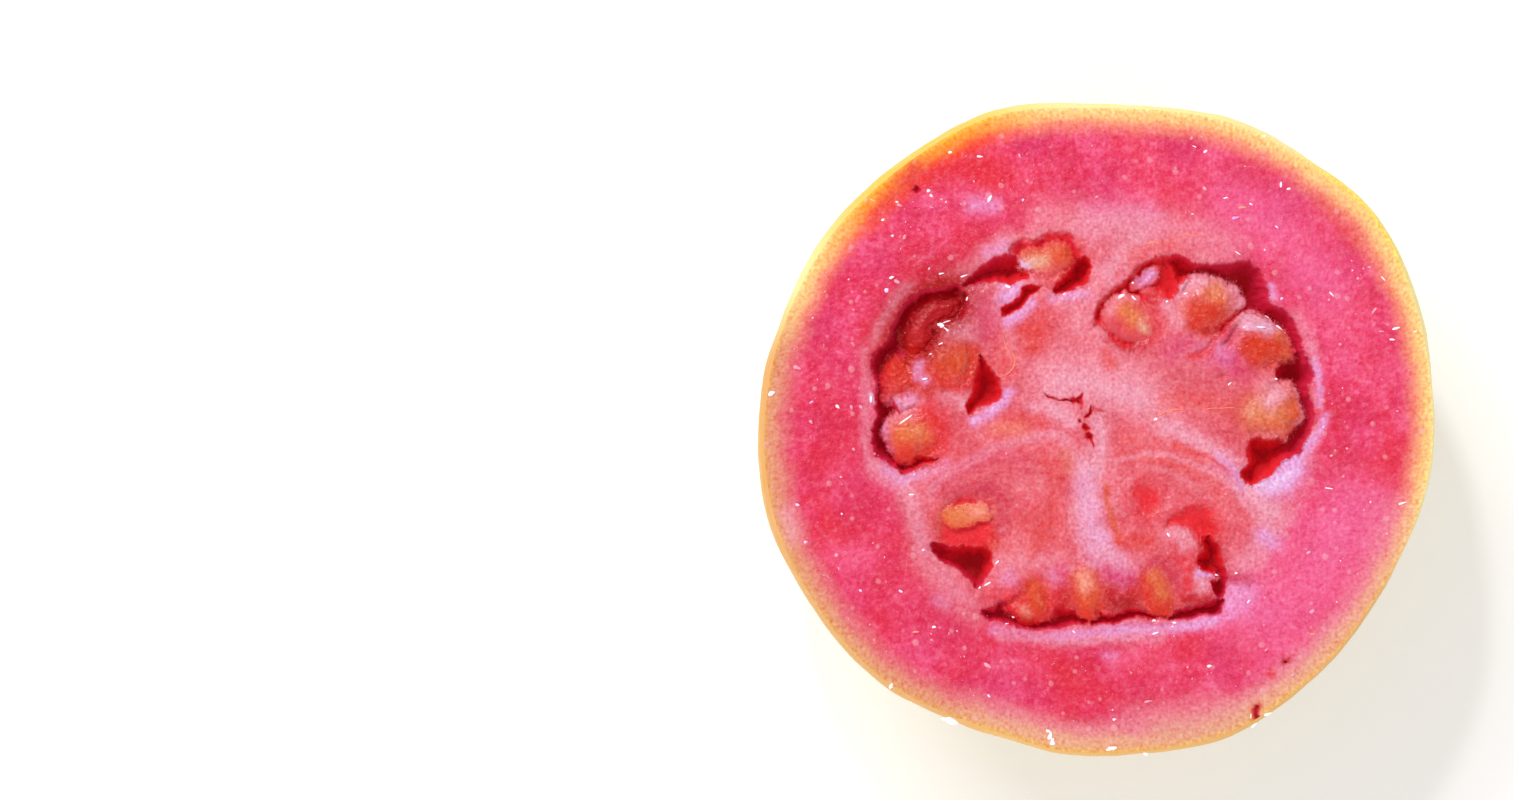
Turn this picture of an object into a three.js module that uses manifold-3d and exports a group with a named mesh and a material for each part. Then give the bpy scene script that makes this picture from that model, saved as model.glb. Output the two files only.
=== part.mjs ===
// Half of a ripe pink guava, cut across at its widest, lying on its rounded blossom end with the
// cut face up. Millimetres, +Z up, origin on the resting plane under the middle of the fruit.
//
// fruit_half   skin, flesh and seed pulp, grown as one body: the seed chambers and the torn core
//              are hollowed from the cut face, and the seeds stand in them, rooted in the pulp.
// calyx_crown  the dried sepals that stay on the fruit, in the dimple at the blossom end.

import * as THREE from 'three';
import { mergeVertices } from 'three/addons/utils/BufferGeometryUtils.js';
import Module from 'manifold-3d';

const wasm = await Module();
wasm.setup();

// ---------------------------------------------------------------- driving dimensions (mm, degrees)

const CUT_HEIGHT = 33.4;          // resting plane to cut face
const WIDEST_BELOW_CUT = 4.2;     // the girth lies a little under the cut
const CUT_EDGE_INSET = 0.6;       // the cut edge lies this far inside the girth
const RIM_STEPS = 72;             // facets round the fruit
const SIDE_STEPS = 13;            // rings from the girth down to the resting plane
const SIDE_FULLNESS = 2.15;       // 2 is an ellipse, more is squarer
const SAG = 1.3;                  // how far ripe flesh has settled flat on the surface
const MEAN_RADIUS = 32.6;         // what the lobed girth evens out to lower down

// The girth: direction and radius of each place where the outline changes its curve.
const GIRTH = [
  [0, 32.9], [18, 33.4], [36, 34.4], [50, 33.7], [68, 32.9], [90, 31.8], [112, 32.7], [140, 32.6],
  [165, 32.8], [188, 33.1], [208, 32.8], [230, 32.4], [254, 31.4], [270, 31.8], [292, 32.4],
  [312, 32.1], [330, 31.9], [346, 32.5],
];

// The dimple round the calyx, from the resting ring inward and up.
const REST_RING_INNER = 7.4;
const DIMPLE = [[7.0, 0.15], [5.4, 1.65], [3.7, 3.15], [2.0, 3.4]];   // radius, height
const DIMPLE_ROOF = 3.5;

// The calyx crown.
const SEPALS = 5;
const CROWN_RADIUS = 2.9;
const CROWN_BASE = 2.0;
const CROWN_TOP = 2.8;
const SEPAL_TIP_RADIUS = 5.5;
const SEPAL_TIP_HEIGHT = 0.45;
const SEPAL_THICKNESS = 0.65;
const STYLE_STUB = 0.55;

const HOLLOW_ABOVE_CUT = 1;       // hollowing solids start this far over the cut face
const OUTLINE_STEP = 1.15;        // spacing of an outline's facets

// Each hollow: its outline on the cut face, the spine along its middle that the walls lean in
// to, and its depth.
const HOLLOWS = [
  {
    name: 'upper left chamber',
    depth: 9,
    outline: [
      [-13.3, 14.1], [-15, 13.8], [-17, 13.7], [-18.5, 12.9], [-19.5, 11.5], [-20.6, 8.8],
      [-22, 7.2], [-21.7, 4.5], [-21.7, 1.8], [-22, -1.8], [-20.4, -3.1], [-19, -4.4],
      [-17.5, -3.6], [-15.3, -2.9], [-17.2, -2.2], [-18.2, -0.6], [-18.9, 1.6], [-19.8, 3.4],
      [-19.6, 5.2], [-19.2, 6.9], [-17.6, 7.3], [-17, 8.6], [-16, 10.4], [-14.2, 11],
      [-13.4, 12.4],
    ],
    spine: [[-14.8, 12.6], [-18.4, 10.6], [-20.5, 6.4], [-20.7, 3], [-20.4, 0], [-19.6, -2.4],
      [-17.6, -3]],
  },
  {
    name: 'gap left of the top seed',
    depth: 4.5,
    outline: [
      [-7.6, 16.9], [-8.8, 17], [-10.3, 16.7], [-11.6, 15.8], [-13.4, 14], [-12, 13.9],
      [-10.3, 14.4], [-8.4, 14.2], [-6.6, 14.9],
    ],
    spine: [[-7.8, 15.8], [-10.4, 15.6], [-12.6, 14.2]],
  },
  {
    name: 'recess over the top seed',
    depth: 2.4,
    outline: [
      [-0.8, 15.6], [-1.4, 17], [-2, 18.4], [-3.7, 19.6], [-5, 19.4], [-6.5, 18.6], [-8, 18.8],
      [-8.8, 17.2], [-7.4, 15.4], [-5, 15.6], [-2.6, 15.2],
    ],
    spine: [[-7.4, 17.2], [-4.6, 17.6], [-2, 16.6]],
  },
  {
    name: 'hole right of the top seed',
    depth: 6,
    outline: [
      [-1.2, 17], [-0.7, 15.5], [-1, 14.2], [-2.2, 13.7], [-4.2, 13.1], [-4.3, 14.1],
      [-3, 15.2], [-2.4, 16.4],
    ],
    spine: [[-1.7, 16], [-1.9, 14.8], [-3.6, 13.8]],
  },
  {
    name: 'torn slot in the pulp',
    depth: 3,
    outline: [
      [-9.6, 11.6], [-8.5, 12.3], [-7.7, 13.1], [-6.8, 14], [-5.2, 13.7], [-6.4, 13.1],
      [-7, 12.3], [-8.3, 11.3], [-9.2, 11.1],
    ],
    spine: [[-9, 11.6], [-7.5, 12.6], [-6.2, 13.5]],
  },
  {
    name: 'left pulp hole',
    depth: 6,
    outline: [
      [-11, 6.2], [-10.2, 5.4], [-9.7, 4.2], [-9.8, 3], [-11.4, 2.3], [-12.4, 1.3], [-12.9, 2.2],
      [-12, 3.4], [-11.7, 4.6],
    ],
    spine: [[-10.9, 5], [-11, 3.4], [-12, 2.4]],
  },
  {
    name: 'upper right chamber',
    depth: 9,
    outline: [
      [6.2, 16.8], [7.2, 17.2], [9, 16.5], [12, 16.2], [14, 16.4], [15.4, 16], [16.2, 14],
      [16.5, 12.4], [18.2, 11.6], [19.4, 9.5], [20.3, 7], [21.1, 5], [20.4, 4], [21.1, 2.2],
      [20.8, 0.3], [19.5, -2], [17.9, -3.1], [16.7, -4.3], [14.9, -5.5], [13.5, -4.1],
      [14.5, -2.2], [15, -0.8], [17.2, -0.6], [18.4, 0.8], [18.6, 2.6], [17.6, 4.2], [17, 5.8],
      [17.8, 7.2], [17.4, 9], [15.6, 10.8], [14.2, 11.4], [13.2, 12.6], [11.4, 14],
      [9, 14.6], [7.6, 14.2],
    ],
    spine: [[7.2, 15.8], [11, 15.4], [14.6, 14], [16.2, 11.8], [18.4, 9.6], [19.2, 6.6],
      [19.4, 3.8], [19.6, 1.4], [18.2, -1.6], [15.4, -3.8]],
  },
  {
    name: 'recess round the pale seed',
    depth: 2.2,
    outline: [
      [-0.4, 10.5], [0.2, 12.4], [1.3, 13.5], [2.6, 14.5], [3.6, 15.8], [6, 16.6], [7.8, 15.4],
      [7.4, 13.2], [6, 12.5], [5.2, 11.6], [5.7, 9.5], [5, 8.3], [2.8, 7.8], [1.4, 8.8],
    ],
    spine: [[3, 10], [3.4, 12.2], [5.6, 14.6]],
  },
  {
    name: 'lower left recess',
    depth: 2,
    outline: [
      [-16, -7.8], [-15, -6.3], [-12.4, -6], [-10, -6.4], [-9.4, -8.2], [-10.2, -10.4],
      [-13, -11.4], [-15.8, -10.6],
    ],
    spine: [[-14, -8.4], [-11.4, -8.4]],
  },
  {
    name: 'lower left hole',
    depth: 7,
    outline: [
      [-16, -10.7], [-14.5, -11], [-12.5, -11.1], [-11, -9.8], [-10.1, -12], [-10.6, -14.3],
      [-12, -15.2], [-13.2, -13.7], [-15.2, -12.6], [-15.9, -12],
    ],
    spine: [[-14.6, -11.8], [-12.4, -12.4], [-11.4, -13.6]],
  },
  {
    name: 'lower chamber',
    depth: 7,
    outline: [
      [-11.6, -17.2], [-10.4, -18.6], [-7, -19.1], [-4, -19.3], [-1.5, -18.9], [1.2, -18.8],
      [3.5, -18.3], [8, -18.4], [11.5, -17.9], [12.8, -16.2], [11, -16.2], [9.5, -17],
      [8, -17.4], [6.6, -17], [3.5, -16.6], [1.4, -16.2], [-0.4, -17], [-2.6, -16.8],
      [-3.6, -17.2], [-5.4, -17.6], [-8, -17.2], [-9.6, -16.6],
    ],
    spine: [[-10.2, -17.6], [-6, -18.4], [-1, -18], [4, -17.5], [9, -17.8], [11.8, -16.9]],
  },
  {
    name: 'shallow hollow',
    depth: 1.8,
    outline: [
      [3, -5.5], [4, -5], [5.5, -5.4], [6.3, -6.5], [6.4, -8.4], [5, -8.6], [3.8, -8.3],
      [3.2, -7],
    ],
    spine: [[4.2, -6.2], [5.2, -7.4]],
  },
  {
    name: 'lower right hollow',
    depth: 3.6,
    outline: [
      [6.1, -9.4], [6.6, -8], [9, -7.3], [10.7, -7.3], [11.8, -9.5], [12.3, -12.5],
      [12.9, -14], [12.4, -16.2], [11.4, -16.4], [10.6, -15], [9.3, -12.6], [9.8, -10.8],
      [8.5, -9.6],
    ],
    spine: [[7.4, -8.6], [10.2, -8.8], [10.9, -11.4], [11.6, -14.6]],
  },
];

// The torn core: three narrow arms that meet near the middle.
const CRACK_DEPTH = 2.2;
const CRACK_WIDTH = 0.55;
const CRACK_ARMS = [
  [[-5.3, 3.8], [-4.5, 3.2], [-3.3, 3], [-1.8, 2.8], [-1.1, 2]],
  [[-1.4, 1.8], [-0.2, 2], [0.7, 1.9]],
  [[-1.1, 2.2], [-1.6, 1], [-1.2, 0.1], [-0.8, -1], [-0.5, -3.4]],
];

// Each seed: middle on the cut face, half length, half width, half height, heading, and how far
// its middle lies under the cut. A seed that reaches the cut sits in a shallow nest of torn pulp.
const NEST_SPREAD = 1.32;         // nest to seed, across
const NEST_DEPTH = 1.1;
const SEEDS = [
  { at: [-5, 16.4], half: [2.3, 1.35, 1.7], heading: 32, sunk: 1.4 },
  { at: [-16.6, 10.4], half: [1.8, 1.5, 1.5], heading: 60, sunk: 3.6 },
  { at: [-14.2, 6.5], half: [1.9, 1.7, 1.5], heading: 20, sunk: 1.1 },
  { at: [-19, 5], half: [2, 1.8, 1.7], heading: 80, sunk: 2.6 },
  { at: [-17.9, -0.6], half: [2.1, 1.9, 1.7], heading: 40, sunk: 1.2 },
  { at: [3.2, 10.8], half: [1.9, 1.35, 1.9], heading: -50, sunk: 1.5 },
  { at: [5.5, 14.5], half: [1.9, 1.6, 1.6], heading: 50, sunk: 2.6 },
  { at: [10.4, 12], half: [2.4, 2.2, 1.9], heading: 10, sunk: 1.3 },
  { at: [16, 8.1], half: [2.2, 1.8, 1.8], heading: 60, sunk: 1.3 },
  { at: [17.3, 1.9], half: [2.3, 1.75, 1.7], heading: 25, sunk: 1.2 },
  { at: [-12.8, -8], half: [2.5, 1.2, 1.7], heading: 2, sunk: 1.4 },
  { at: [-6.6, -17.1], half: [2.2, 1.75, 1.6], heading: 80, sunk: 1.5 },
  { at: [-1.2, -15.9], half: [2.5, 1.3, 1.4], heading: 95, sunk: 1.3 },
  { at: [5.6, -15.9], half: [2.45, 1.4, 1.4], heading: -75, sunk: 1.3 },
];

// ---------------------------------------------------------------- solids

/** A closed three.js geometry as a manifold solid. */
function toSolid(geometry) {
  const bare = geometry.clone();
  bare.deleteAttribute('normal');
  bare.deleteAttribute('uv');
  const welded = mergeVertices(bare, 1e-4);
  return new wasm.Manifold(new wasm.Mesh({
    numProp: 3,
    vertProperties: Float32Array.from(welded.attributes.position.array),
    triVerts: Uint32Array.from(welded.index.array),
  }));
}

/** A manifold solid back as a three.js geometry. */
function toGeometry(solid) {
  const mesh = solid.getMesh();
  const geometry = new THREE.BufferGeometry();
  geometry.setAttribute('position', new THREE.BufferAttribute(mesh.vertProperties, 3));
  geometry.setIndex(new THREE.BufferAttribute(mesh.triVerts, 1));
  geometry.computeVertexNormals();
  return geometry;
}

/** Flat ends for a loft: the triangles of one closed ring, in the ring's own order. */
function capTriangles(ring) {
  const flat = ring.map((point) => new THREE.Vector2(point.x, point.y));
  return THREE.ShapeUtils.triangulateShape(flat, []);
}

/** Joins rings of equal count, listed from top to bottom and counterclockwise from above. */
function loft(rings) {
  const count = rings[0].length;
  const last = (rings.length - 1) * count;
  const indices = [];
  for (let level = 0; level < rings.length - 1; level += 1) {
    for (let step = 0; step < count; step += 1) {
      const next = (step + 1) % count;
      const upper = level * count;
      const lower = upper + count;
      indices.push(upper + step, lower + step, lower + next);
      indices.push(upper + step, lower + next, upper + next);
    }
  }
  for (const [a, b, c] of capTriangles(rings[0])) indices.push(a, b, c);
  for (const [a, b, c] of capTriangles(rings.at(-1))) indices.push(last + a, last + c, last + b);
  const geometry = new THREE.BufferGeometry().setFromPoints(rings.flat());
  geometry.setIndex(indices);
  return geometry;
}

// ---------------------------------------------------------------- the uncut half

/** Plan of the girth, as points round the axis. */
function girthPlan() {
  const corners = GIRTH.map(([degrees, radius]) => {
    const turn = THREE.MathUtils.degToRad(degrees);
    return new THREE.Vector3(radius * Math.cos(turn), radius * Math.sin(turn), 0);
  });
  return new THREE.CatmullRomCurve3(corners, true).getSpacedPoints(RIM_STEPS).slice(0, RIM_STEPS);
}

/** One level of the fruit: the girth's plan at a share of its width, evened out by `roundness`. */
function levelRing(plan, share, height, roundness) {
  return plan.map((point) => {
    const radius = THREE.MathUtils.lerp(point.length(), MEAN_RADIUS, roundness) * share;
    return point.clone().setLength(radius).setZ(height);
  });
}

/** Levels from the cut edge over the girth and down to the resting plane. */
function sideRings(plan) {
  const girthHeight = CUT_HEIGHT - WIDEST_BELOW_CUT;
  const reach = girthHeight + SAG;
  const edgeShare = 1 - CUT_EDGE_INSET / MEAN_RADIUS;
  const rings = [
    levelRing(plan, edgeShare, CUT_HEIGHT, 0),
    levelRing(plan, 1 - 0.3 * (1 - edgeShare), CUT_HEIGHT - 0.4 * WIDEST_BELOW_CUT, 0),
  ];
  const endAngle = Math.asin((girthHeight / reach) ** (SIDE_FULLNESS / 2));
  for (let step = 0; step <= SIDE_STEPS; step += 1) {
    const angle = endAngle * step / SIDE_STEPS;
    const share = Math.cos(angle) ** (2 / SIDE_FULLNESS);
    const height = girthHeight - reach * Math.sin(angle) ** (2 / SIDE_FULLNESS);
    rings.push(levelRing(plan, share, Math.max(height, 0), step / SIDE_STEPS));
  }
  return rings;
}

/** Levels of the resting ring and the dimple inside it. */
function dimpleRings(plan) {
  const levels = [[REST_RING_INNER, 0], ...DIMPLE, [DIMPLE[3][0] / 2, DIMPLE_ROOF]];
  return levels.map(([radius, height]) => levelRing(plan, radius / MEAN_RADIUS, height, 1));
}

function uncutHalf() {
  const plan = girthPlan();
  return loft([...sideRings(plan), ...dimpleRings(plan)]);
}

// ---------------------------------------------------------------- hollows

/** A smooth closed outline through hand-set points. */
function outlinePoints(corners) {
  const curve = new THREE.CatmullRomCurve3(
    corners.map(([x, y]) => new THREE.Vector3(x, y, 0)), true, 'centripetal');
  const count = Math.ceil(curve.getLength() / OUTLINE_STEP);
  const points = curve.getSpacedPoints(count).slice(0, count);
  const clockwise = THREE.ShapeUtils.isClockWise(points);
  return clockwise ? points.reverse() : points;
}

/** The nearest place to a point on a polyline. */
function nearestOnSpine(point, spine) {
  const target = new THREE.Vector3();
  let best = null;
  for (let piece = 0; piece < spine.length - 1; piece += 1) {
    const line = new THREE.Line3(spine[piece], spine[piece + 1]);
    line.closestPointToPoint(point, true, target);
    if (best === null || target.distanceTo(point) < best.distanceTo(point)) best = target.clone();
  }
  return best;
}

/** A hollow that narrows towards its spine as it goes down, to a rounded floor. */
function hollowSolid({ outline, spine, depth }) {
  const rim = outlinePoints(outline);
  const spinePoints = spine.map(([x, y]) => new THREE.Vector3(x, y, 0));
  const feet = rim.map((point) => nearestOnSpine(point, spinePoints));
  const levels = [
    [CUT_HEIGHT + HOLLOW_ABOVE_CUT, 0],
    [CUT_HEIGHT - 0.5 * depth, 0.06],
    [CUT_HEIGHT - 0.85 * depth, 0.3],
    [CUT_HEIGHT - depth, 0.62],
  ];
  return toSolid(loft(levels.map(([height, lean]) => rim.map(
    (point, index) => point.clone().lerp(feet[index], lean).setZ(height)))));
}

/** One arm of the torn core: a narrow slit with pointed ends along a bent line. */
function crackSolid(arm) {
  const line = arm.map(([x, y]) => new THREE.Vector3(x, y, 0));
  const left = [];
  const right = [];
  line.forEach((point, index) => {
    const before = line[Math.max(index - 1, 0)];
    const after = line[Math.min(index + 1, line.length - 1)];
    const across = after.clone().sub(before).cross(new THREE.Vector3(0, 0, 1)).normalize();
    const ends = index === 0 || index === line.length - 1;
    const halfWidth = (ends ? 0.4 : 1) * CRACK_WIDTH / 2;
    right.push(point.clone().addScaledVector(across, halfWidth));
    left.unshift(point.clone().addScaledVector(across, -halfWidth));
  });
  const slit = [...right, ...left];
  const rings = [CUT_HEIGHT + HOLLOW_ABOVE_CUT, CUT_HEIGHT - CRACK_DEPTH].map(
    (height) => slit.map((point) => point.clone().setZ(height)));
  return toSolid(loft(rings));
}

// ---------------------------------------------------------------- seeds

/** An oval body with its middle at a height, turned to a heading. */
function ovalSolid(detail, at, half, heading, height) {
  const geometry = new THREE.IcosahedronGeometry(1, detail);
  geometry.scale(...half);
  geometry.rotateZ(THREE.MathUtils.degToRad(heading));
  geometry.translate(at[0], at[1], height);
  return toSolid(geometry);
}

/** One hard seed. */
function seedSolid({ at, half, heading, sunk }) {
  return ovalSolid(2, at, half, heading, CUT_HEIGHT - sunk);
}

/** The nest round a seed that reaches the cut. */
function nestSolid({ at, half, heading }) {
  const spread = [half[0] * NEST_SPREAD, half[1] * NEST_SPREAD, NEST_DEPTH];
  return ovalSolid(1, at, spread, heading, CUT_HEIGHT);
}

function reachesCut({ half, sunk }) {
  return half[2] > sunk;
}

function fruitHalf() {
  let body = toSolid(uncutHalf());
  for (const hollow of HOLLOWS) body = body.subtract(hollowSolid(hollow));
  for (const arm of CRACK_ARMS) body = body.subtract(crackSolid(arm));
  for (const seed of SEEDS.filter(reachesCut)) body = body.subtract(nestSolid(seed));
  for (const seed of SEEDS) body = body.add(seedSolid(seed));
  return toGeometry(body);
}

// ---------------------------------------------------------------- calyx crown

/** The disc that the sepals grow from, with the stub of the style under its middle. */
function crownDisc() {
  const profile = [
    [0, CROWN_BASE - STYLE_STUB], [0.45, CROWN_BASE - STYLE_STUB], [0.6, CROWN_BASE],
    [CROWN_RADIUS, CROWN_BASE], [CROWN_RADIUS + 0.2, 0.5 * (CROWN_BASE + CROWN_TOP)],
    [CROWN_RADIUS - 0.1, CROWN_TOP], [0, CROWN_TOP],
  ];
  const geometry = new THREE.LatheGeometry(profile.map(([x, y]) => new THREE.Vector2(x, y)), 30);
  return toSolid(geometry.rotateX(Math.PI / 2));
}

/** One dried sepal, a pointed leaf that leans out and down along the dimple's wall. */
function sepalSolid(turn) {
  const root = CROWN_RADIUS - 0.9;
  const length = SEPAL_TIP_RADIUS - root;
  const leaf = new THREE.Shape();
  leaf.moveTo(0, -1.15);
  leaf.quadraticCurveTo(0.55 * length, -1.55, length, 0);
  leaf.quadraticCurveTo(0.55 * length, 1.55, 0, 1.15);
  leaf.closePath();
  const geometry = new THREE.ExtrudeGeometry(
    leaf, { depth: SEPAL_THICKNESS, bevelEnabled: false, curveSegments: 7 });
  const drop = CROWN_BASE + 0.1 - SEPAL_TIP_HEIGHT;
  const position = geometry.attributes.position;
  for (let index = 0; index < position.count; index += 1) {
    const along = position.getX(index) / length;
    const curl = drop * along ** 1.25;
    position.setZ(index, position.getZ(index) + CROWN_BASE + 0.1 - curl);
  }
  geometry.translate(root, 0, 0);
  geometry.rotateZ(turn);
  return toSolid(geometry);
}

function calyxCrown() {
  let crown = crownDisc();
  for (let sepal = 0; sepal < SEPALS; sepal += 1) {
    crown = crown.add(sepalSolid(2 * Math.PI * (sepal + 0.2) / SEPALS));
  }
  return toGeometry(crown);
}

// ---------------------------------------------------------------- the object

const flesh = new THREE.MeshStandardMaterial({ color: 0xe0476e, roughness: 0.35, metalness: 0 });
const driedCalyx = new THREE.MeshStandardMaterial({ color: 0x6b5334, roughness: 0.85, metalness: 0 });

const fruitMesh = new THREE.Mesh(fruitHalf(), flesh);
fruitMesh.name = 'fruit_half';

const crownMesh = new THREE.Mesh(calyxCrown(), driedCalyx);
crownMesh.name = 'calyx_crown';

const group = new THREE.Group();
group.add(fruitMesh, crownMesh);

export default group;
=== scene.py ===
"""Half of a ripe pink guava, cut across and lying cut face up on a pale floor.

The cut face is one fine relief: firm flesh with its stone grains, the softer seed pulp, the seed
chambers torn round it and the cracked core. The seeds stand in it in their juice sacs, with a
fringe of torn sac fibres, thin vessels and beads of juice. Light and shade are painted into the
colours too: darker reds deep in the hollows and in the clefts, pale tops and dark undersides on
the lumps, a lilac sheen on the lips, near-white highlights on the beads of juice and a red glow
in the hollows. The skin closes the underside, with the dried calyx in its dimple.

Lengths are millimetres in the design and metres in the finished meshes. The frame is the model's
own: +Z up out of the cut face, the origin under the middle of the fruit.
"""

import logging
import math
from dataclasses import dataclass, field
from enum import Enum

import bpy
import numpy as np
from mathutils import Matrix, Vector


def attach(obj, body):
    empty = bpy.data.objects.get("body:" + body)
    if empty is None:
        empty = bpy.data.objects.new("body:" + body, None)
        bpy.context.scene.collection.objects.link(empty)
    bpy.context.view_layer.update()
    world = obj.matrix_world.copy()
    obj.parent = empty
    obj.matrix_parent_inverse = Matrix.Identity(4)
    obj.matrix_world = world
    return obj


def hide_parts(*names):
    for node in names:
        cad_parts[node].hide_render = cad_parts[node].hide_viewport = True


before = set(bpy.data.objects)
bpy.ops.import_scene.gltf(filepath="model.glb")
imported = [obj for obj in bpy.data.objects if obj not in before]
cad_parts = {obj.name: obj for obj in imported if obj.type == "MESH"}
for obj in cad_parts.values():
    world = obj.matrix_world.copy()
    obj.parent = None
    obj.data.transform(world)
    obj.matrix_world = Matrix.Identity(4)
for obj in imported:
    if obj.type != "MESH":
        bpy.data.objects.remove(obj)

LOG = logging.getLogger("guava")
MILLIMETRE = 0.001
BODY = "root"
NOISE_SEED = 9
NOISE_CELLS = 1024
NOISE_SLOPE = 1.25
NOISE_GAIN = {2: 1.7, 3: 1.5}
BATCH = 4000
OUTLINE_STEP = 0.3
NOTHING_THERE = 50.0

Array = np.ndarray
Socket = bpy.types.NodeSocket
Point = tuple[float, float]
Colour = tuple[float, float, float]


# ------------------------------ noise and curves


def unit(vectors: Array) -> Array:
    """Vectors in rows, each made one long."""
    return vectors / np.linalg.norm(vectors, axis=1)[:, None]


def shuffled_tables() -> tuple[Array, Array]:
    """Draws the tables for the noise.

    Returns:
        The cells' numbers, shuffled and repeated once, and a direction for each cell.
    """
    draw = np.random.default_rng(NOISE_SEED)
    order = draw.permutation(NOISE_CELLS)
    directions = draw.normal(size=(NOISE_CELLS, 3))
    return np.concatenate([order, order]), unit(directions) * NOISE_SLOPE


ORDER, DIRECTIONS = shuffled_tables()


def gradient_noise(points: Array, size: float, seed: int) -> Array:
    """Smooth noise over a plane or over space.

    Args:
        points: places, shape (n, 2) or (n, 3).
        size: length of one bump.
        seed: which field to draw.

    Returns:
        Values between about -1 and 1, shape (n,).
    """
    axes = points.shape[1]
    scaled = points / size + 0.37 * seed
    base = np.floor(scaled).astype(np.int64)
    offset = scaled - base
    ease = offset**3 * (offset * (offset * 6 - 15) + 10)
    total = np.zeros(len(points))
    for corner in np.ndindex(*(2,) * axes):
        place = (base + np.array(corner)) & (NOISE_CELLS - 1)
        number = ORDER[place[:, 0] + seed % NOISE_CELLS]
        for axis in range(1, axes):
            number = ORDER[number + place[:, axis]]
        weight = np.ones(len(points))
        slope = np.zeros(len(points))
        for axis, step in enumerate(corner):
            weight *= ease[:, axis] if step else 1 - ease[:, axis]
            slope += DIRECTIONS[number, axis] * (offset[:, axis] - step)
        total += weight * slope
    return total * NOISE_GAIN[axes]


def fractal_noise(points: Array, size: float, seed: int, octaves: int = 3) -> Array:
    """Noise with finer and weaker bumps on its large ones.

    Args:
        points: places, shape (n, 2) or (n, 3).
        size: length of the largest bumps.
        seed: which field to draw.
        octaves: how many sizes are summed, each half the last.

    Returns:
        Values between about -1 and 1, shape (n,).
    """
    total = np.zeros(len(points))
    for octave in range(octaves):
        share = 0.5**octave
        total += share * gradient_noise(points, size * share, seed + 17 * octave)
    return total / (2 - 0.5 ** (octaves - 1))


def smooth_step(low: float, high: float, values: Array) -> Array:
    """A smooth rise from 0 at low to 1 at high."""
    share = np.clip((values - low) / (high - low), 0, 1)
    return share * share * (3 - 2 * share)


def smooth_curve(numbers: tuple[float, ...], spacing: float, closed: bool) -> Array:
    """A smooth line through given points.

    Args:
        numbers: x and y of each point in turn.
        spacing: distance between the points returned.
        closed: whether the line returns to its start.

    Returns:
        Evenly spaced points, shape (n, 2).
    """
    known = np.array(numbers, float).reshape(-1, 2)
    if closed:
        padded = np.vstack([known[-1], known, known[0], known[1]])
    else:
        padded = np.vstack([2 * known[0] - known[1], known, 2 * known[-1] - known[-2]])
    steps = np.linspace(0, 1, 12, endpoint=False)[:, None]
    pieces = []
    for before, start, end, after in zip(padded, padded[1:], padded[2:], padded[3:]):
        bend = 2 * before - 5 * start + 4 * end - after
        turn = -before + 3 * start - 3 * end + after
        pieces.append(start + 0.5 * ((end - before) * steps + bend * steps**2 + turn * steps**3))
    line = np.vstack([*pieces, known[:1] if closed else known[-1:]])
    lengths = np.concatenate([[0], np.cumsum(np.linalg.norm(np.diff(line, axis=0), axis=1))])
    count = max(int(lengths[-1] / spacing), 3)
    wanted = np.linspace(0, lengths[-1], count, endpoint=not closed)
    return np.column_stack([np.interp(wanted, lengths, line[:, axis]) for axis in (0, 1)])


def nearest_on_line(points: Array, line: Array, closed: bool) -> tuple[Array, Array]:
    """The nearest place on a line to each point.

    Args:
        points: places, shape (n, 2).
        line: the line's points, shape (m, 2).
        closed: whether the line's end joins its start.

    Returns:
        Distances, shape (n,), and the nearest places, shape (n, 2).
    """
    starts = line if closed else line[:-1]
    ends = np.roll(line, -1, axis=0) if closed else line[1:]
    along = ends - starts
    squared = np.maximum(np.sum(along * along, axis=1), 1e-12)
    distances = np.empty(len(points))
    places = np.empty((len(points), 2))
    for first in range(0, len(points), BATCH):
        batch = points[first : first + BATCH, None, :]
        share = np.clip(np.sum((batch - starts) * along, axis=2) / squared, 0, 1)
        spots = starts + share[:, :, None] * along
        gaps = np.linalg.norm(batch - spots, axis=2)
        best = np.argmin(gaps, axis=1)
        rows = np.arange(len(best))
        distances[first : first + BATCH] = gaps[rows, best]
        places[first : first + BATCH] = spots[rows, best]
    return distances, places


def mixed(first: Array | float, second: Array | float, share: Array | float) -> Array | float:
    """Values that pass from the first to the second as the share rises from 0 to 1."""
    return first + (second - first) * share


def radius_and_angle(flat: Array) -> tuple[Array, Array]:
    """Distance and direction of each place from the middle."""
    return np.linalg.norm(flat, axis=1), np.arctan2(flat[:, 1], flat[:, 0])


def near_line(points: Array, line: Array, reach: float) -> Array:
    """Numbers of the points inside the box round a line, widened by a reach."""
    low, high = line.min(axis=0) - reach, line.max(axis=0) + reach
    return np.flatnonzero(np.all((points > low) & (points < high), axis=1))


def lies_inside(points: Array, line: Array) -> Array:
    """Whether each point lies inside a closed line, by counting the edges to its right.

    Args:
        points: places, shape (n, 2).
        line: the line's points, shape (m, 2).

    Returns:
        Whether each point is inside, shape (n,).
    """
    ends = np.roll(line, -1, axis=0)
    rise = np.where(np.abs(ends[:, 1] - line[:, 1]) < 1e-9, 1e-9, ends[:, 1] - line[:, 1])
    inside = np.zeros(len(points), bool)
    for first in range(0, len(points), BATCH):
        x = points[first : first + BATCH, 0:1]
        y = points[first : first + BATCH, 1:2]
        spans = (line[:, 1] > y) != (ends[:, 1] > y)
        cross = line[:, 0] + (y - line[:, 1]) * (ends[:, 0] - line[:, 0]) / rise
        inside[first : first + BATCH] = np.sum(spans & (cross > x), axis=1) % 2 == 1
    return inside


# ------------------------------ meshes


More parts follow.
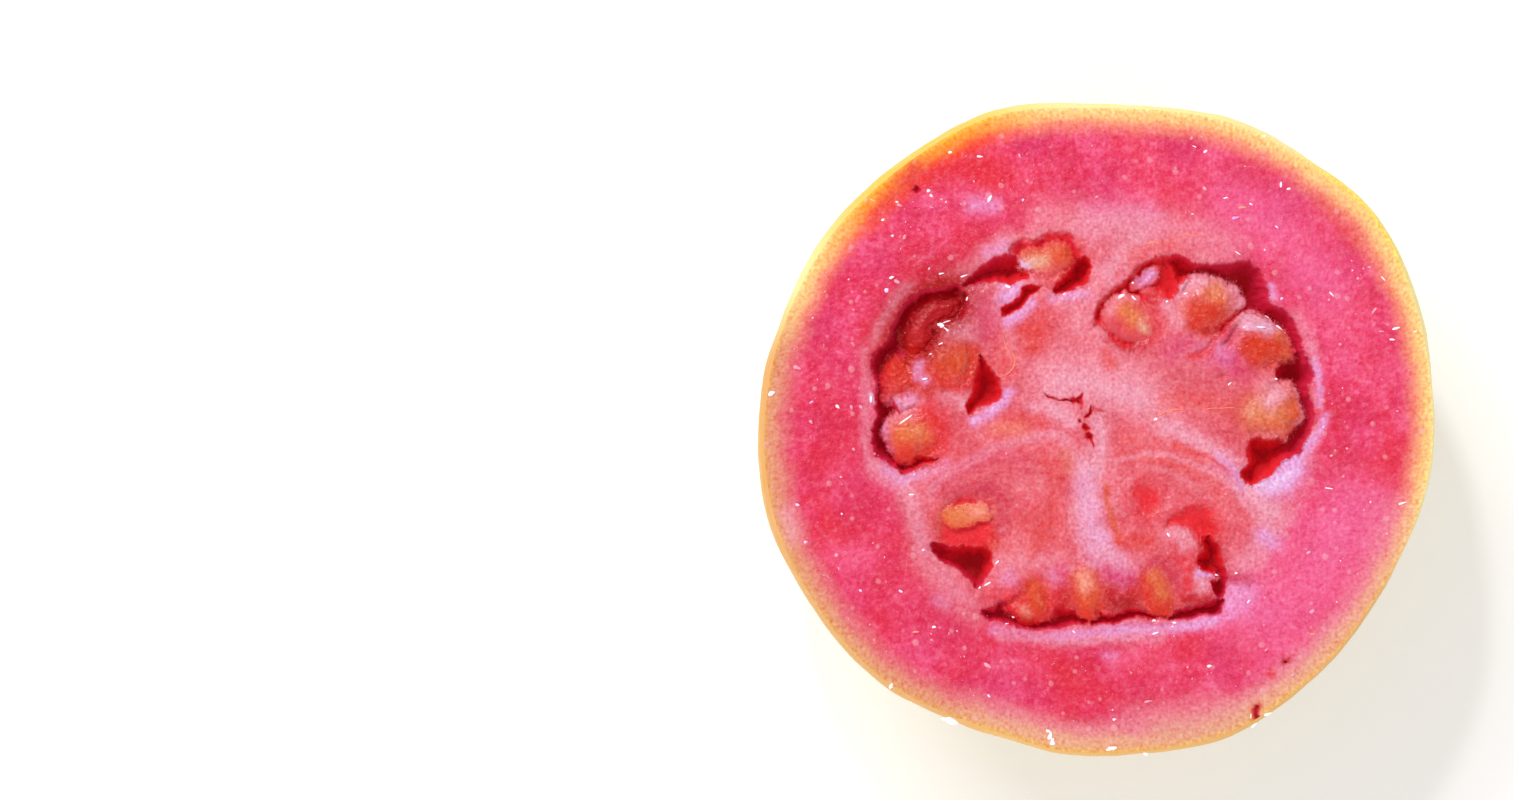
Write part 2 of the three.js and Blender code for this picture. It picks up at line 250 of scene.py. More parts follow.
def grid_faces(rows: int, columns: int, wraps: bool) -> Array:
    """Four-sided faces of a grid of vertices, row by row.

    Args:
        rows: vertices down.
        columns: vertices across.
        wraps: whether the last column joins the first.

    Returns:
        Vertex numbers, shape (n, 4).
    """
    across = columns if wraps else columns - 1
    row, column = np.meshgrid(np.arange(rows - 1), np.arange(across), indexing="ij")
    after = (column + 1) % columns
    corners = [row * columns + column, (row + 1) * columns + column]
    corners += [(row + 1) * columns + after, row * columns + after]
    return np.stack(corners, axis=-1).reshape(-1, 4)


def vertex_normals(vertices: Array, quads: Array) -> Array:
    """Smooth normals of a mesh of four-sided faces.

    Args:
        vertices: places, shape (n, 3).
        quads: vertex numbers of the faces, shape (m, 4).

    Returns:
        Unit normals, shape (n, 3).
    """
    first = vertices[quads[:, 2]] - vertices[quads[:, 0]]
    second = vertices[quads[:, 3]] - vertices[quads[:, 1]]
    facing = np.cross(first, second)
    total = np.zeros_like(vertices)
    for corner in range(4):
        for axis in range(3):
            total[:, axis] += np.bincount(quads[:, corner], facing[:, axis], len(vertices))
    return total / np.maximum(np.linalg.norm(total, axis=1), 1e-12)[:, None]


@dataclass
class MeshParts:
    """Vertices, faces and masks gathered from one or more shapes, to become one mesh."""

    vertices: list[Array] = field(default_factory=list)
    faces: list[Array] = field(default_factory=list)
    masks: dict[str, list[Array]] = field(default_factory=dict)
    count: int = 0

    def add(self, vertices: Array, *faces: Array, **masks: Array) -> None:
        """Adds one shape.

        Args:
            vertices: places in millimetres, shape (n, 3).
            faces: arrays of three or four vertex numbers a row.
            masks: a value or a colour for each vertex, by name.
        """
        self.faces += [rows + self.count for rows in faces]
        self.vertices.append(vertices)
        self.count += len(vertices)
        for name, values in masks.items():
            self.masks.setdefault(name, []).append(values)

    def build(self, name: str, normals: Array | None = None) -> bpy.types.Object:
        """Makes the smooth-shaded object, with its masks as vertex attributes.

        Args:
            name: the piece's name.
            normals: the normals to keep, where they come from more than this mesh.

        Returns:
            The new object, linked to the scene.
        """
        mesh = bpy.data.meshes.new(name)
        places = np.vstack(self.vertices) * MILLIMETRE
        corners = np.concatenate([rows.ravel() for rows in self.faces]).astype(np.int32)
        sizes = np.concatenate([np.full(len(rows), rows.shape[1]) for rows in self.faces])
        starts = np.concatenate([[0], np.cumsum(sizes)[:-1]]).astype(np.int32)
        mesh.vertices.add(len(places))
        mesh.vertices.foreach_set("co", places.astype(np.float32).ravel())
        mesh.loops.add(len(corners))
        mesh.loops.foreach_set("vertex_index", corners)
        mesh.polygons.add(len(sizes))
        mesh.polygons.foreach_set("loop_start", starts)
        mesh.update(calc_edges=True)
        mesh.polygons.foreach_set("use_smooth", [True] * len(mesh.polygons))
        for key, values in self.masks.items():
            joined = np.concatenate(values).astype(np.float32)
            if joined.ndim == 2:
                filled = np.column_stack([joined, np.ones(len(joined))])
                mesh.attributes.new(key, "FLOAT_COLOR", "POINT").data.foreach_set("color", filled.ravel())
            else:
                mesh.attributes.new(key, "FLOAT", "POINT").data.foreach_set("value", joined)
        if normals is not None:
            mesh.normals_split_custom_set_from_vertices(normals.tolist())
        made = bpy.data.objects.new(name, mesh)
        bpy.context.scene.collection.objects.link(made)
        return made


def lay_flat_map(made: bpy.types.Object, reach: float) -> None:
    """Gives a mesh a map laid flat from above, so that its pattern keeps its scale.

    Args:
        made: the object to map.
        reach: half the map's width about the origin, in millimetres.
    """
    mesh = made.data
    places = np.empty(len(mesh.vertices) * 3, np.float32)
    mesh.vertices.foreach_get("co", places)
    flat = places.reshape(-1, 3)[:, :2] / MILLIMETRE
    corner_vertices = np.empty(len(mesh.loops), np.int32)
    mesh.loops.foreach_get("vertex_index", corner_vertices)
    spots = (0.5 + flat / (2 * reach))[corner_vertices].astype(np.float32)
    mesh.uv_layers.new(name="OFBake").data.foreach_set("uv", spots.ravel())


# ------------------------------ the fruit's form


@dataclass(frozen=True)
class FruitForm:
    """Outer form of the half fruit: the same sizes as its solid."""

    cut_height: float = 33.4
    widest_below_cut: float = 4.2
    cut_edge_inset: float = 0.6
    fullness: float = 2.15
    sag: float = 1.3
    mean_radius: float = 32.6
    rest_ring_inner: float = 7.4
    dimple: tuple[Point, ...] = ((7.0, 0.15), (5.4, 1.65), (3.7, 3.15), (2.0, 3.4), (0.0, 3.5))
    girth: tuple[Point, ...] = (
        (0, 32.9), (18, 33.4), (36, 34.4), (50, 33.7), (68, 32.9), (90, 31.8), (112, 32.7),
        (140, 32.6), (165, 32.8), (188, 33.1), (208, 32.8), (230, 32.4), (254, 31.4),
        (270, 31.8), (292, 32.4), (312, 32.1), (330, 31.9), (346, 32.5),
    )

    def girth_radius(self, angle: Array) -> Array:
        """Radius of the girth.

        Args:
            angle: directions from the middle, in radians, shape (n,).

        Returns:
            Radii, shape (n,).
        """
        known = np.array(self.girth)
        turns = np.radians(known[:, 0])
        corners = np.column_stack([known[:, 1] * np.cos(turns), known[:, 1] * np.sin(turns)])
        line = smooth_curve(corners.ravel(), 0.5, closed=True)
        around = np.arctan2(line[:, 1], line[:, 0]) % (2 * np.pi)
        order = np.argsort(around)
        radii = np.linalg.norm(line, axis=1)[order]
        return np.interp(angle % (2 * np.pi), around[order], radii, period=2 * np.pi)

    def edge_radius(self, angle: Array) -> Array:
        """Radius of the cut edge towards each angle, in radians."""
        return self.girth_radius(angle) * (1 - self.cut_edge_inset / self.mean_radius)


FORM = FruitForm()


# ------------------------------ hollows and seeds


@dataclass(frozen=True)
class Hollow:
    """A hollow torn in the cut face: its depth, outline, and how far its sides lean."""

    depth: float
    outline: tuple[float, ...]
    pulp_slope: float = 0.8
    wall_slope: float = 0.35


HOLLOWS = (
    Hollow(5.5, (-13.3, 14.1, -15, 13.8, -17, 13.7, -18.5, 12.9, -19.5, 11.5, -20.6, 8.8, -22, 7.2, -21.7,
        4.5, -21.7, 1.8, -22, -1.8, -20.4, -3.1, -19, -4.4, -17.5, -3.6, -15.3, -2.9, -17.2, -2.2, -18.2,
        -0.6, -18.9, 1.6, -19.8, 3.4, -19.6, 5.2, -19.2, 6.9, -17.6, 7.3, -16.4, 8.4, -15.9, 10.4, -14.2,
        11, -13.4, 12.4), 1.2, 0.7),
    Hollow(4.5, (-7.6, 16.9, -8.8, 17, -10.3, 16.7, -11.6, 15.8, -13.4, 14, -12, 13.9, -10.3, 14.4, -8.4,
        14.2, -6.6, 14.9), 0.8, 0.9),
    Hollow(1.9, (-0.8, 15.6, -1.4, 17, -2, 18.4, -3.7, 19.6, -5, 19.4, -6.5, 18.6, -8, 18.8, -8.8, 17.2,
        -7.4, 15.4, -5, 15.6, -2.6, 15.2), 0.6, 1.3),
    Hollow(6, (-1.4, 17, -0.7, 16.2, -1, 14.4, -2.2, 13.7, -4.2, 13.3, -4.3, 14.1, -3, 15.2, -2.4, 16.4),
        0.8, 0.5),
    Hollow(3, (-9.6, 11.7, -8.6, 12.4, -7.7, 13, -7.6, 13.9, -6.6, 14.1, -5.6, 13.7, -6.6, 13.1, -7, 12.3,
        -8.3, 11.3, -9.2, 11.1), 0.4, 0.4),
    Hollow(4.5, (-11.6, 7.3, -10.8, 6.6, -9.7, 5, -9.4, 3.2, -10.6, 2.6, -11.8, 2, -12.5, 1.2, -13, 2.4,
        -12.3, 3.4, -12, 5), 0.5, 0.5),
    Hollow(5.5, (6.6, 16.6, 7.6, 17.1, 9, 16.5, 11, 16.1, 14, 16.4, 15.5, 15.8, 16.2, 14, 16.6, 12.5, 18.2,
        11.6, 19.3, 9.7, 20.1, 7.4, 20.9, 5.4, 20.3, 3.8, 20.9, 2.4, 20.7, 0.3, 19.5, -2, 17.9, -3.1, 16.7,
        -4.3, 14.9, -5.5, 13.7, -4.3, 14.2, -3.2, 14.6, -0.9, 17.2, -0.6, 18.4, 0.8, 18.6, 2.6, 17.6, 4.2,
        17, 5.8, 17.8, 7.2, 17.4, 9, 15.6, 10.8, 14.2, 11.4, 13.2, 12.6, 11.4, 14, 9, 14.6, 7.6, 14.2), 0.8,
        1),
    Hollow(1.9, (-0.4, 10.5, 0, 12.2, 1.3, 13.6, 2.6, 14.6, 3.8, 15.9, 5.4, 16.7, 7.4, 17, 7.9, 14.6, 7.2,
        12.6, 6, 12.8, 4.8, 12.4, 4, 11, 3.8, 9, 3.4, 8.1, 2.6, 7.8, 1.2, 8.8), 0.8, 0.5),
    Hollow(1, (-15.6, -8.6, -15.2, -7, -12.6, -5.8, -10.4, -6.4, -9.8, -8.2, -9.9, -10.4, -10.6, -12, -13,
        -12, -15.6, -11.2), 1.3, 1.2),
    Hollow(4.5, (-16, -10.8, -14.5, -11.1, -12.5, -11.2, -11.4, -11, -10.6, -11.6, -10.2, -12.6, -10.6, -14,
        -11.9, -15.2, -12.8, -14.3, -13.6, -13.5, -15, -12.8, -15.9, -12.1), 0.5, 0.3),
    Hollow(3.6, (-11.5, -17.3, -10.8, -18.3, -8.7, -18.7, -7, -19.2, -4, -19.3, -2, -18.8, 1.2, -18.7, 3.5,
        -18.2, 8, -18.4, 9.8, -18, 11.5, -17.9, 12.4, -16.4, 11, -16.4, 9.5, -16.9, 8, -17.3, 6.6, -17, 3.8,
        -17.2, 2.4, -17.2, 0.9, -17.8, -0.4, -17.4, -2.3, -17.2, -3.8, -16.8, -5.4, -17.8, -8, -17.2, -9.7,
        -16.4, -10.4, -17), 0.9, 0.4),
    Hollow(0.9, (3, -5.6, 4, -5, 5.4, -5.3, 6.2, -6.3, 6.1, -7.8, 5, -8.5, 3.8, -8.2, 3.2, -7), 1.2, 1.2),
    Hollow(1.2, (6.2, -9.6, 6.7, -8.2, 8.2, -7.2, 10.4, -7.2, 11.5, -8.6, 11.7, -10, 11, -11, 9.8, -11.6,
        9.3, -10.6, 8, -9.4), 1, 1),
    Hollow(3, (11.6, 9.4, 12.4, 9.9, 13.2, 10.7, 14, 11.6, 14.8, 12.6, 14.2, 12.9, 13.4, 11.8, 12.6, 10.9,
        11.8, 10.2), 0.5, 0.5),
    Hollow(4.4, (10, -10.4, 10.8, -9.9, 11.5, -10.8, 12.1, -12.6, 12.6, -14.4, 12.3, -15.8, 11.8, -16.4,
        10.9, -15.6, 10.6, -14.7, 11.2, -14.2, 9.9, -13.4, 9.3, -12.6, 10, -11.6), 0.7, 0.4),
    Hollow(0.6, (8.5, 7.3, 9.4, 7, 10.2, 7.1, 11, 7.8, 11.4, 9, 10.9, 9.1, 10.4, 8.2, 9.4, 7.7), 0.4, 0.4),
    Hollow(0.5, (11.2, 5.4, 12, 5.8, 12.8, 5.3, 12.2, 4.8, 11.4, 4.8), 0.4, 0.4),
    Hollow(1.4, (-18.4, 23.3, -17.9, 23.7, -17.3, 23.4, -17.5, 22.9, -18.1, 23), 0.3, 0.3),
    Hollow(1, (17.7, -22.4, 18.1, -22, 18.5, -22.2, 18.2, -22.5), 0.2, 0.2),
    Hollow(0.9, (14.9, -27.6, 15.1, -26.7, 15.4, -26.4, 15.6, -27.2, 15.4, -28.2, 15.1, -28.2), 0.2, 0.2),
    Hollow(1.3, (-5.5, 4, -4.8, 3.45, -4, 3.2, -3, 3.15, -2.3, 3.2, -1.9, 3.35, -1.45, 3.8, -1.55, 3.1,
        -1.6, 2.4, -1.85, 2.05, -2.2, 2.6, -3, 2.75, -3.8, 2.85, -4.8, 3, -5.2, 3.4), 0.3, 0.3),
    Hollow(1.4, (-0.8, 2.5, -0.5, 2.1, -0.7, 1.5, -1.25, 1.1, -1.4, 1.4, -1.15, 2), 0.3, 0.3),
    Hollow(0.7, (-0.7, 2.45, 0.2, 2.25, 0.8, 2, 0.4, 1.75, -0.4, 1.9), 0.3, 0.3),
    Hollow(1, (-2, 1.15, -1.6, 1.2, -1.45, 0.75, -1.8, 0.6), 0.2, 0.2),
    Hollow(1.2, (-1.6, 0.4, -1.1, 0.7, -0.7, 0.4, -0.75, 0, -1.2, -0.15), 0.25, 0.25),
    Hollow(1.3, (-1.35, -0.4, -0.85, -0.15, -0.4, -0.4, -0.45, -0.9, -0.55, -1.4, -0.5, -2, -0.8, -1.7,
        -0.95, -1.1, -1.3, -0.9), 0.25, 0.25),
    Hollow(0.4, (-0.85, -2.1, -0.5, -2.2, -0.45, -3.2, -0.65, -3.6, -0.85, -3), 0.3, 0.3),
)


@dataclass(frozen=True)
class Lump:
    """A soft body standing in the pulp: its crown's depth under the cut, shoulder and outline."""

    sunk: float
    shoulder: float
    outline: tuple[float, ...]
    roughness: float = 1.0


LUMPS = (
    Lump(-0.45, 3, (7.2, 12.4, 7.4, 13.4, 8, 14.3, 9, 15.2, 10, 15.4, 11.2, 15, 12.4, 14.6, 13.3, 14.2,
        13.9, 13.5, 14.3, 12.6, 14.2, 11.9, 13.6, 11.2, 13, 10.8, 12.6, 10.2, 12, 9.4, 11, 8.9, 9.5, 9.2,
        8.2, 9.8, 7.4, 10.8)),
    Lump(-0.4, 2.8, (13.2, 10.4, 13.8, 11.2, 14.8, 11.7, 15.9, 11.3, 16.8, 10.6, 17.7, 10.2, 18.3, 9.4,
        18.7, 8.6, 19.1, 8, 19.3, 7.2, 19, 6.6, 18, 6.4, 17, 6.2, 16, 5.6, 14.6, 5.4, 13.4, 5.6, 12.2, 6.4,
        11.8, 7.6, 12, 8.8, 12.4, 9.6)),
    Lump(-0.5, 2.8, (14.2, 2.2, 15, 3, 15.6, 3.8, 16.2, 4.6, 17.2, 4.9, 18.6, 4.9, 19.2, 4.2, 19.5, 3.2,
        19.8, 2.4, 20.2, 1.6, 20, 0.8, 19.2, 0.2, 18.6, -0.6, 18.2, -1.2, 17, -0.9, 15.8, -0.8, 14.6, -0.6,
        14.1, 0.4, 13.9, 1.4)),
    Lump(-0.3, 2.4, (0.05, 10.6, 0.2, 12, 1.1, 13, 2.2, 13.6, 3.2, 13.4, 4, 12.7, 4.8, 12.1, 5.7, 11.6, 6.1,
        10.4, 5.8, 9.2, 4.8, 8.5, 3.2, 8.15, 1.8, 8.7, 0.6, 9.6), 0.7),
    Lump(0.9, 0.6, (2.9, 14, 3.8, 15.1, 4.8, 16, 5.8, 16, 6, 15, 5.4, 14.3, 4.4, 13.7, 3.4, 13.5), 1.8),
    Lump(1.1, 0.8, (4, 13.6, 5.2, 14, 6.2, 13.6, 6.4, 12.6, 5.4, 12, 4.4, 12.4), 1.6),
    Lump(-0.2, 2, (-7.8, 16.2, -7.6, 15.6, -6.8, 15.3, -6.2, 15, -5.2, 14.6, -4.3, 14.4, -3.6, 15, -2.8,
        15.6, -2.2, 16.3, -2.4, 17.2, -3, 18.2, -3.8, 18.6, -4.8, 18.3, -5.6, 17.9, -6.8, 17.7, -7.8, 17.2),
        0.25),
    Lump(-0.4, 2.4, (-16.6, 6.4, -16.6, 7.6, -15.8, 9, -15.9, 10.3, -14.8, 10.8, -13.4, 10.6, -12.4, 9.2,
        -12, 7.6, -11.9, 6.2, -12.4, 4.9, -13.4, 4.3, -14.8, 4.2, -15.8, 4.9), 0.6),
    Lump(1.6, 3, (-19.4, 8.6, -19.3, 10.4, -18.2, 12.2, -16.6, 13.3, -14.6, 13.8, -12.7, 13.4, -12.6, 11.8,
        -13.6, 10.3, -15, 9.8, -15.2, 8.2, -16.4, 7, -17.8, 6.6, -19, 7.4), 0.5),
    Lump(0.5, 2.2, (-20.3, 7.2, -19.3, 7.3, -18.2, 6.7, -17.4, 5.8, -17.2, 4.6, -18, 3.2, -19.2, 2.9, -20.3,
        2.3, -21, 2.8, -21.3, 4, -21.2, 5.4, -20.9, 6.4), 1.2),
    Lump(-0.4, 2.8, (-20.9, 0.6, -20, 1.8, -19, 2.4, -17.9, 2.6, -16.8, 2.3, -15.6, 1.6, -14.8, 0.2, -15,
        -1.2, -15.8, -2.3, -17.2, -3, -18.4, -3.6, -19.4, -3.2, -20.2, -2.4, -20.6, -1.2, -21.2, -0.3)),
    Lump(0.1, 2.2, (-9.1, -16.4, -7.6, -15.6, -6.8, -14.2, -5.8, -14.2, -4.9, -15.4, -4.3, -17, -4.2, -18.2,
        -5.4, -18.9, -7, -18.7, -8.4, -18.2, -9.2, -17.4), 0.6),
    Lump(-0.25, 1.4, (-2.6, -14.8, -2, -13.2, -1.1, -12.6, -0.3, -13.6, 0.1, -15.2, 0.3, -16.8, 0, -18.2,
        -1, -18.6, -2, -18, -2.4, -16.6), 0.5),
    Lump(-0.2, 1.8, (3.9, -15.2, 4.4, -13.6, 5.4, -13.1, 6.3, -13.6, 7, -15, 7.6, -16.2, 7.7, -17.4, 7,
        -18.1, 5.6, -18.2, 4.5, -17.7, 3.8, -16.4), 0.5),
    Lump(0, 0.9, (-15.2, -7.8, -14.4, -7.1, -12.6, -6.9, -11.2, -6.8, -10.5, -7.6, -10.4, -8.5, -11.4, -9,
        -13, -9.5, -14.3, -9.6, -15, -8.8), 0.2),
    Lump(0.2, 0.8, (9.6, -13.9, 10.2, -13.7, 11, -13.9, 11.7, -14, 11.4, -14.5, 10.6, -14.6, 10.6, -15.4,
        9.9, -15.6, 9.5, -14.8), 0.7),
    Lump(0.1, 0.9, (-11.4, -16.4, -11.4, -15.3, -10.4, -14.6, -9.6, -15, -9.2, -16, -9.8, -16.8, -10.6,
        -17.1), 0.5),
)


@dataclass(frozen=True)
class Seed:
    """A hard seed: its place, half length, half width and half height, heading and depth."""

    at: Point
    half: tuple[float, float, float]
    heading: float
    sunk: float


SEEDS = (
    Seed((-5, 16.4), (2.3, 1.35, 1.7), 32, 1.85),
    Seed((-16.6, 10), (1.8, 1.5, 1.5), 60, 4.4),
    Seed((-14.2, 6.6), (1.9, 1.7, 1.5), 20, 1.5),
    Seed((-19, 5), (2, 1.8, 1.7), 80, 2.5),
    Seed((-18.1, -0.6), (2.1, 1.9, 1.7), 40, 1.7),
    Seed((3.2, 10.8), (1.9, 1.35, 1.9), -50, 2.1),
    Seed((6.5, 14.5), (1.7, 1.3, 1.4), 70, 4.6),
    Seed((10.6, 11.8), (2.4, 2, 1.9), 60, 1.9),
    Seed((16, 8), (2, 1.7, 1.8), 60, 1.9),
    Seed((17.3, 1.9), (2.3, 1.75, 1.7), 25, 1.6),
    Seed((-12.8, -8.2), (2.4, 1.2, 1.7), 2, 1.8),
    Seed((-6.6, -16.8), (2.2, 1.75, 1.6), 80, 2),
    Seed((-1.2, -15.9), (2.5, 1.15, 1.4), 95, 1.4),
    Seed((5.7, -15.8), (2.4, 1.4, 1.4), -75, 1.5),
)


# ------------------------------ pigments and brush strokes


class Pigment(Enum):
    """The fruit's colours, with the light and shade painted on it, as display values from 0 to 255."""

    # The darkest reds here are laid deep in the hollows and in the clefts under and between the seeds:
    # painted shade.
    DARKEST_SHADE = (150, 0, 12)
    EMBER = (208, 16, 32)
    GLOW = (164, 4, 18)
    CRIMSON_SHADE = (182, 4, 20)
    BLOOD = (200, 22, 38)
    CLARET = (200, 26, 72)
    SCARLET = (226, 36, 50)
    MAGENTA = (216, 56, 116)
    ROSE_DARK = (214, 34, 78)
    ROSE = (228, 54, 100)
    ROSE_LIGHT = (240, 96, 138)
    ORCHID = (240, 110, 162)
    SALMON = (232, 96, 100)
    PULP_DARK = (214, 74, 90)
    PULP = (227, 99, 116)
    PULP_LIGHT = (234, 138, 154)
    FROST = (234, 158, 178)
    # Lilac is partly the tissue's own tint and mostly a painted reflection of cool light on the lips of the
    # hollows; the two whites after it are painted highlights.
    LILAC_TINT_AND_SHEEN = (226, 160, 212)
    ICE_HIGHLIGHT = (236, 206, 240)
    GLINT = (255, 246, 255)
    VERMILION = (214, 44, 22)
    FLAME = (216, 54, 16)
    AMBER = (220, 84, 42)
    GOLD = (225, 122, 74)
    SAND = (226, 160, 136)
    CREAM = (244, 206, 140)
    PEACH = (238, 144, 124)
    CORAL = (224, 66, 64)
    STRAW = (250, 230, 152)
    CITRON = (252, 222, 92)
    MARIGOLD = (255, 200, 64)
    HONEY = (234, 182, 90)
    OCHRE = (226, 168, 80)
    BUTTER = (246, 200, 128)
    TANGERINE = (255, 154, 30)
    FAWN = (232, 170, 134)
    BISCUIT = (225, 152, 116)
    APRICOT = (241, 136, 114)
    FLARE = (246, 80, 46)
    DUSK = (231, 136, 144)
    BRICK = (225, 112, 116)
    SHRIMP = (250, 150, 120)

    def linear(self) -> Array:
        """The pigment as linear light, shape (3,)."""
        return to_linear(np.array(self.value, float))


def to_linear(display: Array) -> Array:
    """Turns display values from 0 to 255 into linear light."""
    share = display / 255
    return np.where(share <= 0.04045, share / 12.92, ((share + 0.055) / 1.055) ** 2.4)


@dataclass(frozen=True)
class Stroke:
    """A soft brush stroke on the cut face: pigment, half width, strength and line."""

    pigment: Pigment
    width: float
    strength: float
    line: Array


def strokes(*rows: tuple) -> list[Stroke]:
    """Strokes from rows of pigment, half width and strength, then x and y of each place in turn."""
    return [Stroke(*row[:3], smooth_curve(row[3:], OUTLINE_STEP, closed=False)) for row in rows]


P = Pigment

# The flesh's own colours, with painted light laid in: the lilac and ice strokes along the lips of the
# hollows and the orchid and lilac band under the lowest one are painted sheen and highlight; the frost bands
# on the lips are partly pale tissue, partly painted sheen.
FLESH_STROKES = strokes(
    (P.LILAC_TINT_AND_SHEEN, 1.5, 0.5, -1, 20.3, 2, 20.4, 5, 20.2),
    (P.PULP_LIGHT, 1.9, 0.7, -5, 20.6, 0, 20, 5, 19.6, 9, 19.4, 12.5, 18),
    (P.PULP_LIGHT, 0.9, 0.6, -13, 15.6, -10.5, 17.4, -8.8, 18.8),
    (P.LILAC_TINT_AND_SHEEN, 0.7, 0.5, -10.6, 17.2, -9.2, 17.8),
    (P.FROST, 0.6, 0.7, -21.8, 8.6, -20.8, 10.6, -19.8, 12.4, -18.4, 14),
    (P.FROST, 0.6, 0.6, -22.7, 7.6, -22.5, 4.5, -22.5, 1, -22.6, -1.8, -21.6, -3.6),
    (P.ICE_HIGHLIGHT, 0.22, 0.9, -22.15, 3.4, -22.1, 2.8),
    (P.FROST, 1, 0.7, -21.6, -3.8, -19.2, -5.2, -18, -7.6, -17.5, -10, -16.7, -12.4, -14.6, -14.8, -12.6,
     -16.6),
    (P.LILAC_TINT_AND_SHEEN, 0.6, 0.7, -20.6, -3.6, -19.2, -4.9, -18.2, -4.4, -16.4, -3.9, -14.9, -3.2),
    (P.LILAC_TINT_AND_SHEEN, 0.75, 0.8, -15.4, -16.4, -14.9, -16.6),
    (P.PULP_LIGHT, 1.2, 0.6, -17.4, -12.5, -14.5, -16.3, -12, -18.2),
    (P.ORCHID, 0.7, 0.7, -10, -19.3, 0, -19.8, 11.4, -18.4),
    (P.LILAC_TINT_AND_SHEEN, 0.6, 0.9, -10, -19.3, -7.4, -19.7, -4, -20, -1, -19.6, 2.4, -19.3, 5.6, -19.2, 8.6, -18.9,
     11.4, -18.4),
    (P.FROST, 0.5, 0.6, -9.6, -19.9, -4, -20.6, 2, -20.1, 6, -20.2),
    (P.LILAC_TINT_AND_SHEEN, 1.1, 0.95, 12.8, -17.4, 13.4, -15.6, 14.6, -15.6, 13.8, -17.2),
    (P.FROST, 1.3, 0.6, 17, -8.8, 15.6, -11.4, 14, -13),
    (P.LILAC_TINT_AND_SHEEN, 0.9, 0.8, 16, -10.2, 16.9, -11),
    (P.LILAC_TINT_AND_SHEEN, 1.4, 1.2, 15.6, -5.2, 16.8, -5.3, 18.2, -4.4, 18.6, -3.4),
    (P.ICE_HIGHLIGHT, 0.7, 0.6, 15.6, -5.4, 17, -5.2, 18.4, -4.2),
    (P.LILAC_TINT_AND_SHEEN, 0.45, 0.9, 18.4, -3, 19.8, -2.2, 20.6, -1, 21.4, 0.2, 21.9, 1.4),
    (P.LILAC_TINT_AND_SHEEN, 0.45, 0.8, 21.3, 2.6, 21.3, 3.9, 21.2, 5.2, 20.9, 6.8),
    (P.FROST, 0.7, 0.5, 20.8, 7, 20.1, 9.4, 19.1, 11.2),
    (P.LILAC_TINT_AND_SHEEN, 0.4, 0.8, 16.7, 14, 16.9, 12.8),
    (P.SCARLET, 1.7, 0.75, -17.8, 24.4, -14.6, 24.9, -12, 25.6, -11, 24.4),
    (P.CORAL, 1, 0.6, -21.4, 20.8, -19.8, 23, -17.6, 25.2),
    (P.LILAC_TINT_AND_SHEEN, 0.9, 0.6, -12.2, 21.8, -10.2, 21.8),
    (P.ROSE_LIGHT, 0.8, 0.7, -16.8, 22.4, -15.2, 22.2),
    (P.ROSE_DARK, 1.5, 0.4, -20, 18, -16.4, 17, -13.4, 17.4),
    (P.CORAL, 1, 0.5, 21.5, 22, 23, 20, 24.6, 18.6),
    (P.SCARLET, 1.2, 0.35, 27.4, 1.4, 28.4, -1.4, 27.6, -4.2),
    (P.ROSE_LIGHT, 1.6, 0.5, 27.6, 6.4, 28.6, 5.4),
    (P.ROSE_DARK, 4.5, 0.35, -25, 4, -24, -6, -18, -15, -8, -22, 4, -24),
    (P.PULP_LIGHT, 1.8, 0.5, 28.2, -7.6, 27.4, -9.6, 26.4, -10.8),
    (P.ORCHID, 4.2, 0.7, 16, -18, 21, -14, 24, -8),
    (P.ORCHID, 3.4, 0.5, 13, 22, 18, 19, 22, 13),
    (P.ROSE_LIGHT, 0.18, 0.7, -17.6, 16.2, -16.2, 17.2, -14.6, 18.6),
    (P.ROSE_LIGHT, 2, 0.4, 17.5, -14, 21, -16, 24, -14),
    (P.BLOOD, 0.35, 0.9, 17.8, -22.3, 18.3, -22.2),
    (P.SCARLET, 0.4, 0.8, 16.5, -23.4, 16.8, -23.6),
    (P.SCARLET, 1.4, 0.4, 3.4, -23, 6.4, -21.4, 9, -21.2),
    (P.SCARLET, 1.6, 0.45, -6, -22.4, -3.6, -23.4, -1.6, -25, 1, -25.8),
    (P.LILAC_TINT_AND_SHEEN, 0.6, 0.5, 1, -21.8, 1.4, -21.9),
    (P.ROSE_LIGHT, 1, 0.5, 1.6, -22.6, 3.4, -22),
    (P.ROSE_LIGHT, 1, 0.4, -7.4, -22.6, -6, -23),
    (P.PULP_LIGHT, 1.4, 0.55, 3, -27.8, 7, -27.2, 11.4, -26.4),
    (P.SAND, 1.3, 0.5, 6, -29, 10, -28.6, 13, -27.8),
    (P.FROST, 0.9, 0.5, -30.2, -8, -29.6, -10.2),
    (P.SCARLET, 0.9, 0.4, -28, -6.6, -26.6, -7, -25.6, -10.6),
    (P.ROSE_LIGHT, 1.4, 0.5, -25.6, -11.8, -22.6, -12.4),
    (P.ROSE_LIGHT, 0.35, 0.8, -25.3, 7.6, -24.6, 7.3),
    (P.FLAME, 0.4, 1, 15.2, -27.9, 15.15, -27, 15.4, -26.7),
)
